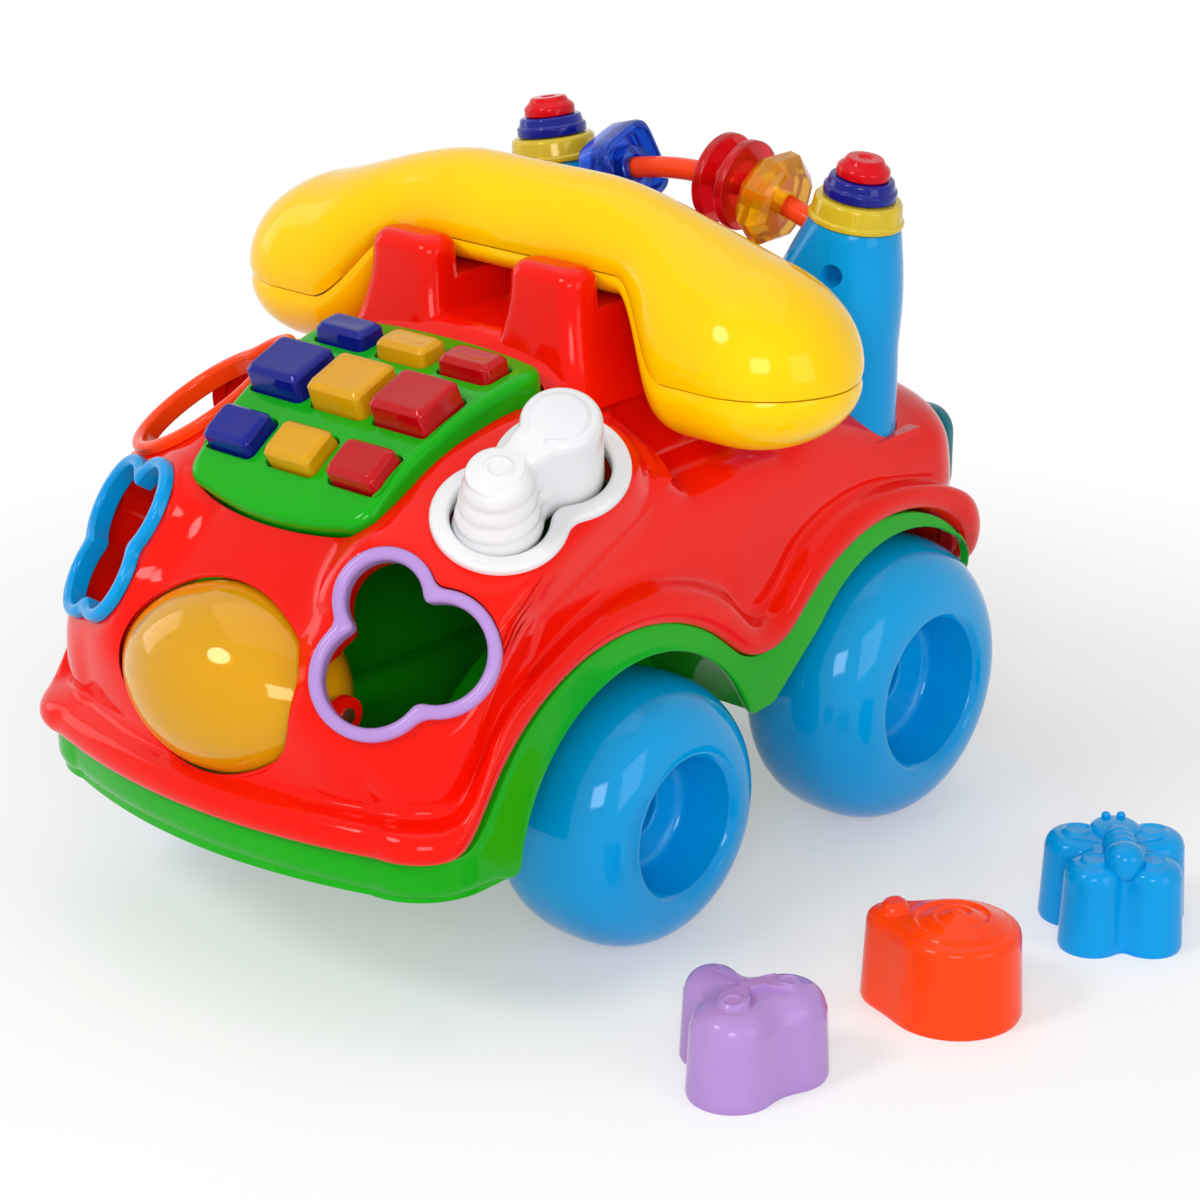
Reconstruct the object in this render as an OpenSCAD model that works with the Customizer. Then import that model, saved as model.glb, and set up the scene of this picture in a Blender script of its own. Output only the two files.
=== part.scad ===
// Toy telephone on wheels: a car-shaped sorter with a lift-off handset, keys, nose roller and bead rail.
// Millimetres, +Z up, floor at z = 0, nose towards -Y, the keypad faces forwards and up.

/* [Shell] */
// Half width of the red shell above its lip
shell_half_w = 91; // [88:1:94]
// Radius of the hood seen from the side
hood_r = 126; // [122:1:130]
// Height of the hood's centre of curvature
hood_z = 65; // [62:1:68]
// Distance of the hood's centre of curvature in front of the origin
hood_back = 70; // [66:1:74]
// Distance from the origin to the rear face at the lip
rear_y = 112; // [106:1:118]
// Fall of the rear deck below the roof
deck_drop = 30; // [24:1:34]
// Wall of the red shell
wall = 3; // [2:0.2:4]
// Forward bow of the nose, seen from above
nose_bow = 12; // [6:1:16]
// Corner radius of the nose, seen from above
nose_corner = 22; // [18:1:28]
// Growth of that corner radius from the lip to the roof
nose_soft = 24; // [16:1:30]
// Height of the lip at the nose
lip_front_z = 66; // [62:1:70]
// Height of the lip at the rear
lip_rear_z = 70; // [67:1:74]
// Reach of the rounded bead along the lip
bead_reach = 7; // [5:0.5:9]
// Height of the rounded bead along the lip
bead_h = 14; // [11:1:16]

/* [Wheel arches] */
// Height of the lip over the front wheels
arch_front_z = 115; // [112:1:120]
// Height of the lip over the rear wheels
arch_rear_z = 119; // [116:1:124]
// Depth of the green arch flange below the lip
flange_h = 7; // [5:0.5:8]
// Height of the green tip between the wheels
tip_z = 66; // [62:1:72]

/* [Wheels] */
// Radius of a front wheel
wheel_r_front = 47.5; // [44:0.5:50]
// Radius of a rear wheel
wheel_r_rear = 53; // [49:0.5:54]
// Width of a wheel
wheel_w = 54; // [46:1:56]
// Distance of the front axle in front of the origin
front_axle_y = 76; // [72:1:80]
// Distance of the rear axle behind the origin
rear_axle_y = 62; // [58:1:66]
// Distance of a wheel's inner face from the middle
wheel_in = 54; // [53:1:58]
// Radius of the hub recess
hub_r = 25; // [20:1:28]
// Depth of the hub recess
hub_deep = 22; // [14:1:28]
// Axle diameter
axle_d = 6; // [5:0.5:8]
// Running gap of a shaft in its bore, on the radius
run_gap = 0.1; // [0.05:0.01:0.15]

/* [Chassis] */
// Room between the rear axle and the bin floor above it
floor_clear = 2.5; // [2.5:0.5:4]
// Thickness of the chassis plastic
chassis_t = 3; // [2:0.2:4]
// Height of the skirt's lower edge
skirt_z = 50; // [47:1:53]

/* [Keypad] */
// Height of the keypad panel above the hood
panel_t = 5; // [4:0.5:7]
// Half width of the panel at its lower edge
panel_low_w = 41; // [40:0.5:44]
// Half width of the panel at its upper edge
panel_top_w = 49; // [47:0.5:50]
// Column pitch of the keys
key_pitch = 28.5; // [27.5:0.5:30]
// Travel of a key
key_travel = 3; // [2:0.5:4]
// Gap round a key
key_gap = 0.5; // [0.4:0.1:0.8]
// Height of a small key above the panel
key_h = 6; // [4.5:0.5:8]
// Height of a middle key above the panel
key_mid_h = 10; // [8:0.5:13]

/* [Nose roller] */
// Radius of the roller
roller_r = 31.5; // [29:0.5:33]
// Half length of the roller
roller_half = 45; // [43:1:48]
// Depth of the roller's axle under the hood
roller_deep = 12.5; // [11.5:0.5:16]
// Gap round the roller in its opening
roller_gap = 2.5; // [2:0.25:4]
// Diameter of the roller's axle pin
pin_d = 6; // [5:0.5:8]

/* [Sorter] */
// Size of a block: radius of a large lobe at its base
lobe_r = 14.5; // [13:0.5:15.5]
// Height of a sorter block
block_h = 31; // [27:1:36]
// Draft of a block, on the radius, from base to top
block_draft = 1.5; // [1:0.5:4]
// Room between a block and its hole
hole_gap = 1.5; // [1:0.25:2]
// Width of a sorter frame's rim
rim_w = 4.5; // [4:0.25:5]
// Height of a sorter frame's rim
rim_h = 6; // [4:0.5:8]
// Depth of a sorter frame's collar through the shell
collar_deep = 7.5; // [6:0.5:9]

/* [Handset] */
// Length of the handset
handset_len = 262; // [250:1:270]
// Diameter of an end of the handset, across
handset_end_d = 68; // [62:1:72]
// Diameter of the handset's grip
grip_d = 38; // [34:1:42]
// Height of the grip's underside above the floor
grip_z = 210; // [208:0.5:216]
// Distance of the handset in front of the origin
handset_y = 28; // [26:1:30]
// Width of one cradle block
cradle_w = 30; // [26:1:32]
// Lift of the handset's grip above its ends
grip_rise = 22; // [20:1:26]

/* [Bead rail] */
// Height of the tops of the posts
post_top_z = 222; // [216:1:228]
// Distance of a post's top from the middle
post_x = 70; // [66:1:72]
// Distance of the posts behind the origin
post_y = 58; // [56:1:62]
// Diameter of a post at its top
post_top_d = 33; // [30:1:36]
// Width of a post at its base, across the car
post_base_w = 58; // [52:1:62]
// Rail diameter
rail_d = 8; // [6:0.5:10]
// Radius of the rail's arch
rail_r = 140; // [120:1:200]
// Height of the rail at the middle
rail_z = 228; // [225:0.5:231]
// Gap of a bead on the rail, on the radius
bead_gap = 0.6; // [0.3:0.1:1]

/* [Hatch] */
// Half width of the rear hatch
hatch_half = 72; // [64:1:74]
// Height of the hatch's lower edge
hatch_z = 103; // [102:1:106]
// Height of the hatch
hatch_h = 36; // [32:1:38]
// Thickness of the hatch
hatch_t = 6; // [5:0.5:8]

/* [Hidden] */
$fn = 48;

// Shell surface. Every point of the shell lies on an outline seen from above, at its own height.
hood_y = -hood_back;
roof_z = hood_z + hood_r;
shoulder_z = roof_z - 61;
front_axle = -front_axle_y;
rear_axle = rear_axle_y;
rear_corner = 22;
rear_lean = 8;
rear_round = 20;
side_lean = 2;
top_gap = 0.5;

function clamp(v, lo, hi) = min(max(v, lo), hi);
function ease(t) = let (c = clamp(t, 0, 1)) c * c * (3 - 2 * c);
function mix(a, b, t) = a + (b - a) * t;
function rise(z) = clamp((z - lip_front_z) / (roof_z - lip_front_z), 0, 1);
function top_part(z) = clamp((z - shoulder_z) / (roof_z - shoulder_z), 0, 1);

function front_y(z) = hood_y - sqrt(max(hood_r * hood_r - pow(z - hood_z, 2), 0));
function rear_end(z) =
    let (t = clamp((z - roof_z + rear_round) / rear_round, 0, 1))
    rear_y - rear_lean * rise(z) - rear_round * (1 - sqrt(1 - t * t));
function half_w(z) = (shell_half_w - side_lean * rise(z)) * sqrt(max(1 - pow(top_part(z), 5), 0));
function bow(z) = nose_bow * (1 - 0.7 * ease((z - lip_front_z) / 70));

// Height of the lip along the side, a smooth union of two arches.
merge_power = 16;
dip_base = 40;
function arch(y, at, fore, aft, fore_z, aft_z, top) =
    let (t = (y - at) / (y < at ? fore : aft), base = y < at ? fore_z : aft_z)
    base + (top - base) * cos(90 * clamp(t, -1, 1));
function lip_z(y) =
    let (
        a = arch(y, front_axle, 95, 95, lip_front_z, dip_base, arch_front_z),
        b = arch(y, rear_axle, 122, rear_y - rear_axle + 10, dip_base, lip_rear_z, arch_rear_z)
    )
    pow(pow(a, merge_power) + pow(b, merge_power), 1 / merge_power);

// One point of the outline at height z, moved out by o: i = 0 at the rear, i = HALF at the nose.
REAR = 2;
ARC = 4;
SIDE = 17;
BOW = 4;
HALF = REAR + ARC + SIDE + ARC + BOW;
function outline_half(i, z, o) =
    let (
        w = half_w(z) + o,
        f = front_y(z) - o,
        r = rear_end(z) + o,
        b = bow(z),
        rr = min(rear_corner, 0.8 * w),
        rf = min(nose_corner + nose_soft * rise(z), 0.8 * w),
        j = i - REAR,
        k = j - ARC,
        m = k - SIDE,
        n = m - ARC
    )
    j <= 0 ? [(w - rr) * i / REAR, r + 0.04 * w * (1 - pow(i / REAR, 2))]
    : k <= 0 ? [w - rr + rr * sin(90 * j / ARC), r - rr + rr * cos(90 * j / ARC)]
    : m <= 0 ? [w, mix(r - rr, f + b + rf, k / SIDE)]
    : n <= 0 ? [w - rf + rf * cos(90 * m / ARC), f + b + rf - rf * sin(90 * m / ARC)]
    : let (x = (w - rf) * (1 - n / BOW)) [x, f + b * pow(x / max(w - rf, 0.01), 2)];
RING = 2 * HALF;
function outline(i, z, o = 0) =
    i <= HALF ? outline_half(i, z, o)
    : let (p = outline_half(RING - i, z, o)) [-p[0], p[1]];

// Fall of the rear deck, and the two scoops that hold the handset's ends.
end_low_z = grip_z - grip_rise - 20;
function deck(y) = deck_drop * ease((y + 20) / 105);
function scoop(x, y) =
    ease((abs(x) - 44) / 22) * (1 - ease((abs(y + handset_y) - 22) / 22));
function sink(x, y, z) =
    let (
        a = z - deck(y) * ease((z - 105) / (roof_z - 105)),
        low = end_low_z - 16,
        k = scoop(x, y)
    )
    a < low ? a : mix(a, low + (a - low) * 0.28, k);

// Rows of the outer surface from the lip up: the bead first, then the wall.
BEAD = [[0, 0], [0.85, 0.08], [1, 0.45], [0.7, 0.82], [0.2, 1]];
LEVELS = 10;
function lip_point(i, o) =
    let (first = lip_z(outline(i, 90, o)[1]), p = outline(i, lip_z(outline(i, first, o)[1]), o))
    [p[0], p[1], lip_z(p[1])];
function wall_z(i, k) =
    let (low = lip_point(i, 0)[2] + bead_h + 4)
    mix(low, roof_z - top_gap, 1 - pow(1 - k / LEVELS, 1.7));
function outer_point(i, r) =
    r == 0 ? lip_point(i, 0)
    : r < len(BEAD) ?
        let (z = lip_point(i, 0)[2] + BEAD[r][1] * bead_h, p = outline(i, z, BEAD[r][0] * bead_reach))
        [p[0], p[1], z]
    :
        let (z = wall_z(i, r - len(BEAD)), p = outline(i, z))
        [p[0], p[1], sink(p[0], p[1], z)];
function inner_point(i, r) =
    r == 0 ? lip_point(i, -wall)
    :
        let (z = wall_z(i, r - 1), p = outline(i, z, -wall))
        [p[0], p[1], sink(p[0], p[1], z) - wall * ease((z - 120) / 55)];

// Closed skin between two stacks of rings that share the first ring's rim, with flat-strip tops.
function ring_faces(a, b) = [
    for (i = [0:RING - 1])
        let (j = (i + 1) % RING)
        each (i < HALF ? [[a + i, b + j, b + i], [a + i, a + j, b + j]]
            : [[a + i, a + j, b + i], [a + j, b + j, b + i]])
];
function cap_faces(a) = [
    for (i = [0:HALF - 1])
        let (l = (RING - i) % RING, m = RING - i - 1)
        each (i == 0 ? [[a, a + 1, a + m]]
            : i == HALF - 1 ? [[a + i, a + HALF, a + l]]
            : [[a + i, a + m, a + l], [a + i, a + i + 1, a + m]])
];
function flip(faces) = [for (f = faces) [f[2], f[1], f[0]]];

module shell_skin() {
    rows_out = len(BEAD) + LEVELS + 1;
    rows_in = LEVELS + 2;
    points = concat(
        [for (r = [0:rows_out - 1]) for (i = [0:RING - 1]) outer_point(i, r)],
        [for (r = [0:rows_in - 1]) for (i = [0:RING - 1]) inner_point(i, r)]
    );
    base = rows_out * RING;
    faces = concat(
        [for (r = [0:rows_out - 2]) each ring_faces(r * RING, (r + 1) * RING)],
        cap_faces((rows_out - 1) * RING),
        flip(ring_faces(0, base)),
        flip([for (r = [0:rows_in - 2]) each ring_faces(base + r * RING, base + (r + 1) * RING)]),
        flip(cap_faces(base + (rows_in - 1) * RING))
    );
    polyhedron(points, faces, convexity = 8);
}

// Places shared by the pieces.
fit = 0.3;
seat = 0.1;
bolt_d = 3;
axle_z_front = wheel_r_front;
axle_z_rear = wheel_r_rear;
floor_z = wheel_r_rear + axle_d / 2 + floor_clear + chassis_t;
panel_r = hood_r + panel_t;
roller_at = 70;
roller_y = hood_y - (hood_r - roller_deep) * sin(roller_at);
roller_z = hood_z + (hood_r - roller_deep) * cos(roller_at);
housing_x = roller_half + 2;
housing_t = 3;
pin_half = housing_x + housing_t + 1;
housing_r = hood_r - 0.6 * wall - bow(roller_z)
    * pow(pin_half / (half_w(roller_z) - nose_corner - nose_soft * rise(roller_z)), 2);

// Turns a piece so that its +Z is the hood's normal at an angle from the top, at distance x from the middle.
module on_hood(angle, x = 0, r = 0) {
    translate([x, hood_y, hood_z]) rotate([angle, 0, 0]) translate([0, 0, r]) children();
}
module both_sides() {
    children();
    mirror([1, 0, 0]) children();
}
module bar_x(r, x0, x1) {
    translate([x0, 0, 0]) rotate([0, 90, 0]) cylinder(h = x1 - x0, r = r);
}
// Draws a side view, given as (y, z), between two distances from the middle.
module side_view(x0, x1) {
    translate([x0, 0, 0]) rotate([90, 0, 90]) linear_extrude(x1 - x0) children();
}
module round_box(w, l, r) {
    square([w - 2 * r, l], center = true);
    square([w, l - 2 * r], center = true);
    for (x = [-1, 1], y = [-1, 1]) translate([x * (w / 2 - r), y * (l / 2 - r)]) circle(r);
}

// Sorter holes: lobes in units of lobe_r, seen along the hole: [across, up the slope, radius].
SHAPES = [
    [[-0.88, 0.8, 0.86], [0.88, 0.8, 0.86], [-0.68, -0.84, 0.78], [0.68, -0.84, 0.78], [0, 0, 0.86]],
    [[-0.72, 0.85, 0.75], [0.8, 0.15, 1], [-0.35, -0.8, 1], [0, 0, 0.8]],
    [[-0.1, -0.98, 1], [0.1, 0.98, 1], [0, 0, 0.62]],
    [[0, -0.15, 1.55], [0.9, 1.15, 0.64]]
];
// Place of each hole: [side, angle on the hood, distance from the middle, from the hood's centre, tilt].
nose_hole_r = hood_r - 9;
roof_hole_r = hood_r - 14;
HOLES = [
    [-1, 55, 67, nose_hole_r, 26], [1, 57, 67, nose_hole_r, 26],
    [1, 24, 74, roof_hole_r, 22], [-1, 24, 75, roof_hole_r, 22]
];
BLUE = 0;
LILAC = 1;
WHITE = 2;
ORANGE = 3;
collar_t = 2;
module lobes(kind, grow) {
    for (c = SHAPES[kind]) translate([c[0] * lobe_r, c[1] * lobe_r]) circle(c[2] * lobe_r + grow);
}
module at_hole(kind) {
    h = HOLES[kind];
    on_hood(h[1], h[0] * h[2], h[3]) rotate([0, h[0] * h[4], 0]) children();
}
module frame(kind) {
    at_hole(kind) difference() {
        union() {
            linear_extrude(rim_h) lobes(kind, hole_gap + rim_w);
            translate([0, 0, -collar_deep]) linear_extrude(collar_deep) lobes(kind, hole_gap + collar_t);
        }
        translate([0, 0, -collar_deep - 1]) linear_extrude(collar_deep + rim_h + 2) lobes(kind, hole_gap);
    }
}
module frame_cut(kind) {
    at_hole(kind) {
        translate([0, 0, -26]) linear_extrude(40) lobes(kind, hole_gap + collar_t + fit);
        translate([0, 0, -seat]) linear_extrude(30) lobes(kind, hole_gap + rim_w + seat_w + 0.1);
    }
}
// Raised seat on the shell that carries a frame's rim all round.
seat_deep = 18;
seat_w = 1.2;
module frame_seat(kind) {
    at_hole(kind) translate([0, 0, -seat_deep]) linear_extrude(seat_deep - seat)
        lobes(kind, hole_gap + rim_w + seat_w);
}
module block(kind) {
    for (c = SHAPES[kind])
        translate([c[0] * lobe_r, c[1] * lobe_r])
            cylinder(h = block_h, r1 = c[2] * lobe_r, r2 = c[2] * lobe_r - block_draft);
}

// Keypad: rows from the top of the hood down: [angle, key width, key length, key height].
ROWS = [[10, 23, 13, key_h], [22, 25, 21, key_mid_h], [34.5, 22, 16, key_h]];
COLUMNS = [-1, 0, 1];
panel_low_at = 44;
panel_top_at = 3;
panel_mid_at = 23;
key_flange = 0.9;
panel_ledge = 1;
plate_in = 8;
flange_t = 1.5;
flange_down = panel_t + 1.4;
plate_room = 2.4;
plate_r = panel_r - flange_down - flange_t - key_travel - plate_room;
plate_t = 1.2;
stud_d = 5;
STUD_AT = [15.05, 28.9];
function panel_edge(grow) =
    let (
        low = -panel_r * sin(panel_low_at - panel_mid_at) - grow,
        top = panel_r * sin(panel_mid_at - panel_top_at) + grow,
        a = panel_low_w + grow,
        b = panel_top_w + grow,
        r = 9 + grow,
        bulge = 4
    )
    concat(
        [for (i = [-4:4]) let (x = i / 4) [x * (a - r), low - bulge * (1 - x * x)]],
        [for (i = [1:4]) let (t = i * 22.5) [a - r + r * sin(t), low + r - r * cos(t)]],
        [for (i = [0:3]) let (t = i * 22.5) [b - r + r * cos(t), top - r + r * sin(t)]],
        [for (i = [-4:4]) let (x = -i / 4) [x * (b - r), top + bulge * (1 - x * x)]],
        [for (i = [1:4]) let (t = i * 22.5) [-b + r - r * sin(t), top - r + r * cos(t)]],
        [for (i = [0:3]) let (t = i * 22.5) [-a + r - r * cos(t), low + r - r * sin(t)]]
    );
module panel_prism(grow, r0, r1) {
    on_hood(panel_mid_at, 0, r0) linear_extrude(r1 - r0) polygon(panel_edge(grow));
}
module hood_layer(r0, r1, x) {
    translate([0, hood_y, hood_z]) difference() {
        bar_x(r1, -x, x);
        bar_x(r0, -x - 1, x + 1);
    }
}
module at_key(row, col) {
    on_hood(ROWS[row][0], col * key_pitch, panel_r) children();
}
module studs(r0, r1, d) {
    for (a = STUD_AT, x = [-1, 1]) on_hood(a, x * key_pitch / 2, r0) cylinder(h = r1 - r0, d = d);
}
module key(row, col) {
    r = ROWS[row];
    at_key(row, col) difference() {
        union() {
            translate([0, 0, -flange_down]) linear_extrude(flange_down + r[3] - 3) round_box(r[1], r[2], 2.5);
            hull() {
                translate([0, 0, r[3] - 3.05]) linear_extrude(0.1) round_box(r[1], r[2], 2.5, $fn = 24);
                translate([0, 0, r[3] - 0.1]) linear_extrude(0.1) round_box(r[1] - 4, r[2] - 4, 2.5, $fn = 24);
            }
            translate([0, 0, -flange_down - flange_t]) linear_extrude(flange_t)
                square([r[1] + 2 * key_flange, r[2] + 2 * key_flange], center = true);
        }
        translate([0, 0, -flange_down - flange_t - 1]) linear_extrude(flange_down + flange_t + r[3] - 2)
            round_box(r[1] - 5, r[2] - 5, 1.5);
    }
}

// Wheel: a balloon turned about its axle, with a stepped hub recess.
hub_step = 8;
bore_grip = 0.02;
function balloon(t, r) = r * (0.62 + 0.38 * pow(1 - pow(abs(t), 2.6), 1 / 2.2));
module wheel_at(side, y, r) {
    x0 = wheel_in;
    h = wheel_w / 2;
    translate([0, y, r]) mirror([side < 0 ? 1 : 0, 0, 0]) translate([x0 + h, 0, 0]) rotate([0, 90, 0])
        rotate_extrude($fn = 96) polygon(concat(
            [[axle_d / 2 + bore_grip, -h + 6], [axle_d / 2 + bore_grip, h - hub_deep - hub_step]],
            [[9, h - hub_deep - hub_step], [9, h - hub_deep], [hub_r - 4, h - hub_deep]],
            [[hub_r - 1.5, h - 3], [hub_r, h]],
            [for (i = [0:22]) let (t = 1 - i / 11) [balloon(t, r), t * h]],
            [[18, -h], [16, -h + 6]]
        ));
}
module axle_at(y, r) {
    translate([0, y, r]) bar_x(axle_d / 2, -wheel_in - wheel_w + hub_deep + hub_step,
        wheel_in + wheel_w - hub_deep - hub_step);
}

// Handset: cross sections along its length, split at a parting line.
GRIP_STEPS = 3;
END_STEPS = 11;
ROUND = 7;
half_len = handset_len / 2;
end_r = handset_end_d / 2;
cradle_x = 32;
grip_edge = cradle_x + cradle_w / 2 + 1.5;
function grip_top(x) = mix(grip_z + grip_d, grip_z + grip_d - 22, ease((abs(x) - 25) / 95));
function grip_low(x) = mix(grip_z, end_low_z, ease((abs(x) - grip_edge) / 24));
function grip_half(x) = mix(grip_d / 2 + 1, end_r, ease((abs(x) - grip_edge) / 33));
function end_fade(x) =
    let (t = clamp((abs(x) - half_len + end_r) / end_r, 0, 1)) sqrt(max(1 - t * t, 0.0004));
function part_z(x) = mix(grip_z + 10, end_low_z + 24, ease((abs(x) - grip_edge) / 32));
// Point of a section: a = 0 and 180 are on the parting line.
function grip_point(x, a, up) =
    let (
        f = end_fade(x),
        p = part_z(x),
        h = up ? (grip_top(x) - p) * f : (p - grip_low(x)) * f
    )
    [x, -handset_y + grip_half(x) * f * cos(a), p + (up ? h : -h) * pow(sin(a), 0.85)];
// Station along the handset: even over the grip, closer towards the rounded ends.
function station(i) =
    let (k = abs(i), over = k - GRIP_STEPS)
    sign(i) * (over <= 0 ? grip_edge * k / GRIP_STEPS
        : mix(grip_edge, half_len * 0.9997, sin(90 * over / END_STEPS)));
module handset_half(up) {
    n = ROUND + 1;
    side = GRIP_STEPS + END_STEPS;
    xs = [for (i = [-side:side]) station(i)];
    points = [for (x = xs) for (j = [0:ROUND]) grip_point(x, 180 * j / ROUND, up)];
    skin = [
        for (i = [0:2 * side - 1]) for (j = [0:n - 1])
            let (a = i * n + j, b = i * n + (j + 1) % n)
            each [[a, b, b + n], [a, b + n, a + n]]
    ];
    fan = [for (j = [1:ROUND - 1]) [0, j + 1, j]];
    last = 2 * side * n;
    far = [for (j = [1:ROUND - 1]) [last, last + j, last + j + 1]];
    faces = concat(skin, fan, far);
    polyhedron(points, up ? flip(faces) : faces, convexity = 4);
}
grip_bolt_x = 84;
module grip_bolts(d, head, up) {
    for (x = [-1, 1]) translate([x * grip_bolt_x, -handset_y, end_low_z - 1]) {
        cylinder(h = 8, d = head);
        cylinder(h = up, d = d);
    }
}

// Cradle: a saddle between two prongs, drawn from the side.
prong_t = 17;
prong_top = grip_z + 14;
prong_round = 7;
module cradle() {
    gap = grip_d / 2 + 1.6;
    y0 = -handset_y - gap - prong_t;
    y1 = -handset_y + gap;
    both_sides() side_view(cradle_x - cradle_w / 2, cradle_x + cradle_w / 2) {
        translate([y0, roof_z - wall - 4]) square([2 * gap + 2 * prong_t, grip_z - seat - roof_z + wall + 4]);
        for (y = [y0, y1]) {
            translate([y, roof_z]) square([prong_t, prong_top - prong_round - roof_z]);
            translate([y + prong_round, roof_z]) square([prong_t - 2 * prong_round, prong_top - roof_z]);
            for (e = [prong_round, prong_t - prong_round])
                translate([y + e, prong_top - prong_round]) circle(prong_round);
        }
    }
}

// Posts: an upright foot through the deck and a leaning taper above it.
foot_low = roof_z - deck_drop - 15;
foot_top = roof_z - deck_drop + 18;
foot_d = 36;
post_foot_x = shell_half_w - 5 - post_base_w / 2;
post_lean = 9;
socket_deep = 10;
peg_d = 12;
collar_h = 9;
ring_h = 7;
cap_h = 8;
module foot(grow) {
    w = post_base_w - foot_d;
    for (x = [-w / 2, w / 2]) translate([post_foot_x + x, post_y]) circle(foot_d / 2 + grow);
    translate([post_foot_x, post_y]) square([w, foot_d + 2 * grow], center = true);
}
module post_axis(z) {
    translate([post_x, post_y, post_top_z]) rotate([0, post_lean, 0]) translate([0, 0, z]) children();
}
module rail_arc(d, x) {
    a = asin(x / rail_r);
    translate([0, post_y, rail_z - rail_r]) rotate([90, 0, 0]) rotate([0, 0, 90 - a])
        rotate_extrude(angle = 2 * a, $fn = 192) translate([rail_r, 0]) circle(d = d, $fn = 32);
}
rail_end_x = post_x - post_top_d / 2 + socket_deep;
post_bolt_x = post_foot_x;
module post() {
    difference() {
        union() {
            translate([0, 0, foot_low]) linear_extrude(foot_top - foot_low) foot(0);
            hull() {
                translate([0, 0, foot_top - 2]) linear_extrude(0.1) foot(-0.4, $fn = 40);
                post_axis(-0.1) cylinder(h = 0.1, d = post_top_d, $fn = 40);
            }
            post_axis(-0.2) cylinder(h = collar_h + ring_h + cap_h - 3, d = peg_d);
        }
        rail_arc(rail_d + 2 * seat, rail_end_x);
        translate([post_bolt_x, post_y, foot_low - 1]) cylinder(h = 14, d = bolt_d);
        translate([post_x - 4, post_y, post_top_z - 17]) rotate([90, 0, 0]) cylinder(h = 40, d = 8);
    }
}

module stack_ring(z, h, d0, d1) {
    both_sides() post_axis(z) difference() {
        cylinder(h = h, d1 = d0, d2 = d1);
        translate([0, 0, -1]) cylinder(h = h + 2, d = peg_d + 2 * seat);
    }
}

// Beads hang on the rail at an angle from its middle.
BEAD_AT = [-15, 6.5, 14];
bead_r = 16.5;
bead_half = 7;
module on_rail(at) {
    translate([0, post_y, rail_z - rail_r]) rotate([0, at, 0]) translate([0, 0, rail_r]) children();
}
module bead_bore() {
    bar_x(rail_d / 2 + bead_gap, -20, 20);
}

// Hatch on the rear face, on a pin along its lower edge.
hinge_d = 4;
barrel_d = 9;
hatch_y = rear_y + 3.2;
hinge_y = hatch_y + barrel_d / 2;
hinge_z = hatch_z - barrel_d / 2 + 1;
lug_t = 5;
lug_gap = 0.6;

// Screws that hold the chassis: [distance from the middle, y], mirrored.
boss_in = 11;
nose_bolt_x = roller_half + 12;
function nose_y(x, z) = front_y(z) + bow(z) * pow(x / (half_w(z) - nose_corner), 2);
BOLTS = [
    [half_w(100) - boss_in, (front_axle + rear_axle) / 2 - 3],
    [nose_bolt_x, nose_y(nose_bolt_x, lip_front_z + 8) + boss_in],
    [40, rear_end(lip_rear_z + 8) - boss_in]
];
boss_d = 9;
boss_h = 18;
head_d = 6;
head_h = 2;
head_in = head_h + 0.2;
function bolt_foot(b) = b[0] > 60 ? tip_z : floor_z - chassis_t;
lip_gap = 1.3;

module upper_body() {
    color("red") difference() {
        union() {
            shell_skin();
            cradle();
            roller_housing();
            both_sides() for (b = BOLTS) boss(b);
            both_sides() post_shelf();
            both_sides() hatch_lug();
            for (k = [0:3]) frame_seat(k);
        }
        for (k = [0:3]) frame_cut(k);
        panel_prism(-panel_ledge, hood_r - 40, hood_r + 30);
        translate([0, roller_y, roller_z]) roller_form(roller_gap);
        translate([0, roller_y, roller_z]) bar_x(pin_d / 2 + seat / 2, -pin_half - 1, pin_half + 1);
        both_sides() translate([0, 0, foot_low]) linear_extrude(60) foot(fit);
        both_sides() translate([post_bolt_x, post_y, foot_low - 20]) cylinder(h = 30, d = bolt_d + 2 * seat);
        both_sides() for (b = BOLTS)
            translate([b[0], b[1], lip_z(b[1]) - 2]) cylinder(h = boss_h, d = bolt_d);
        translate([0, rear_y - 20, hatch_z + 4])
            rotate([-90, 0, 0]) translate([0, -(hatch_h - 8) / 2, 0]) linear_extrude(30)
                round_box(2 * hatch_half - 12, hatch_h - 8, 8);
        translate([0, hinge_y, hinge_z]) bar_x(hinge_d / 2 + seat / 2, -hatch_half - 20, hatch_half + 20);
    }
}
module roller_form(grow) {
    rotate([0, 90, 0]) rotate_extrude($fn = 96) polygon(concat(
        [[0, -roller_half - grow]],
        [for (i = [0:20]) let (t = i / 10 - 1)
            [6 + (roller_r + grow - 6) * pow(max(1 - t * t, 0), 0.62), t * (roller_half + grow)]],
        [[0, roller_half + grow]]
    ));
}
module roller_housing() {
    both_sides() intersection() {
        translate([housing_x + 0.5, roller_y, roller_z]) rotate([roller_at, 0, 0]) translate([0, -11, -9])
            cube([housing_t, 22, 60]);
        translate([0, hood_y, hood_z]) bar_x(housing_r, 0, 100);
    }
}
module boss(b) {
    z = lip_z(b[1]);
    translate([b[0], b[1], z]) {
        cylinder(h = boss_h, d = boss_d);
        if (b[0] > 60) translate([0, -1.5, 0]) cube([boss_in - wall / 2, 3, boss_h]);
        else translate([-1.5, b[1] < 0 ? wall / 2 - boss_in : 0, 0]) cube([3, boss_in - wall / 2, boss_h]);
    }
}
module post_shelf() {
    y0 = post_y - foot_d / 2;
    translate([post_foot_x - post_base_w / 2, y0, foot_low - 3 - seat])
        cube([shell_half_w - 3 - post_foot_x + post_base_w / 2, foot_d, 3]);
}
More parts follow.
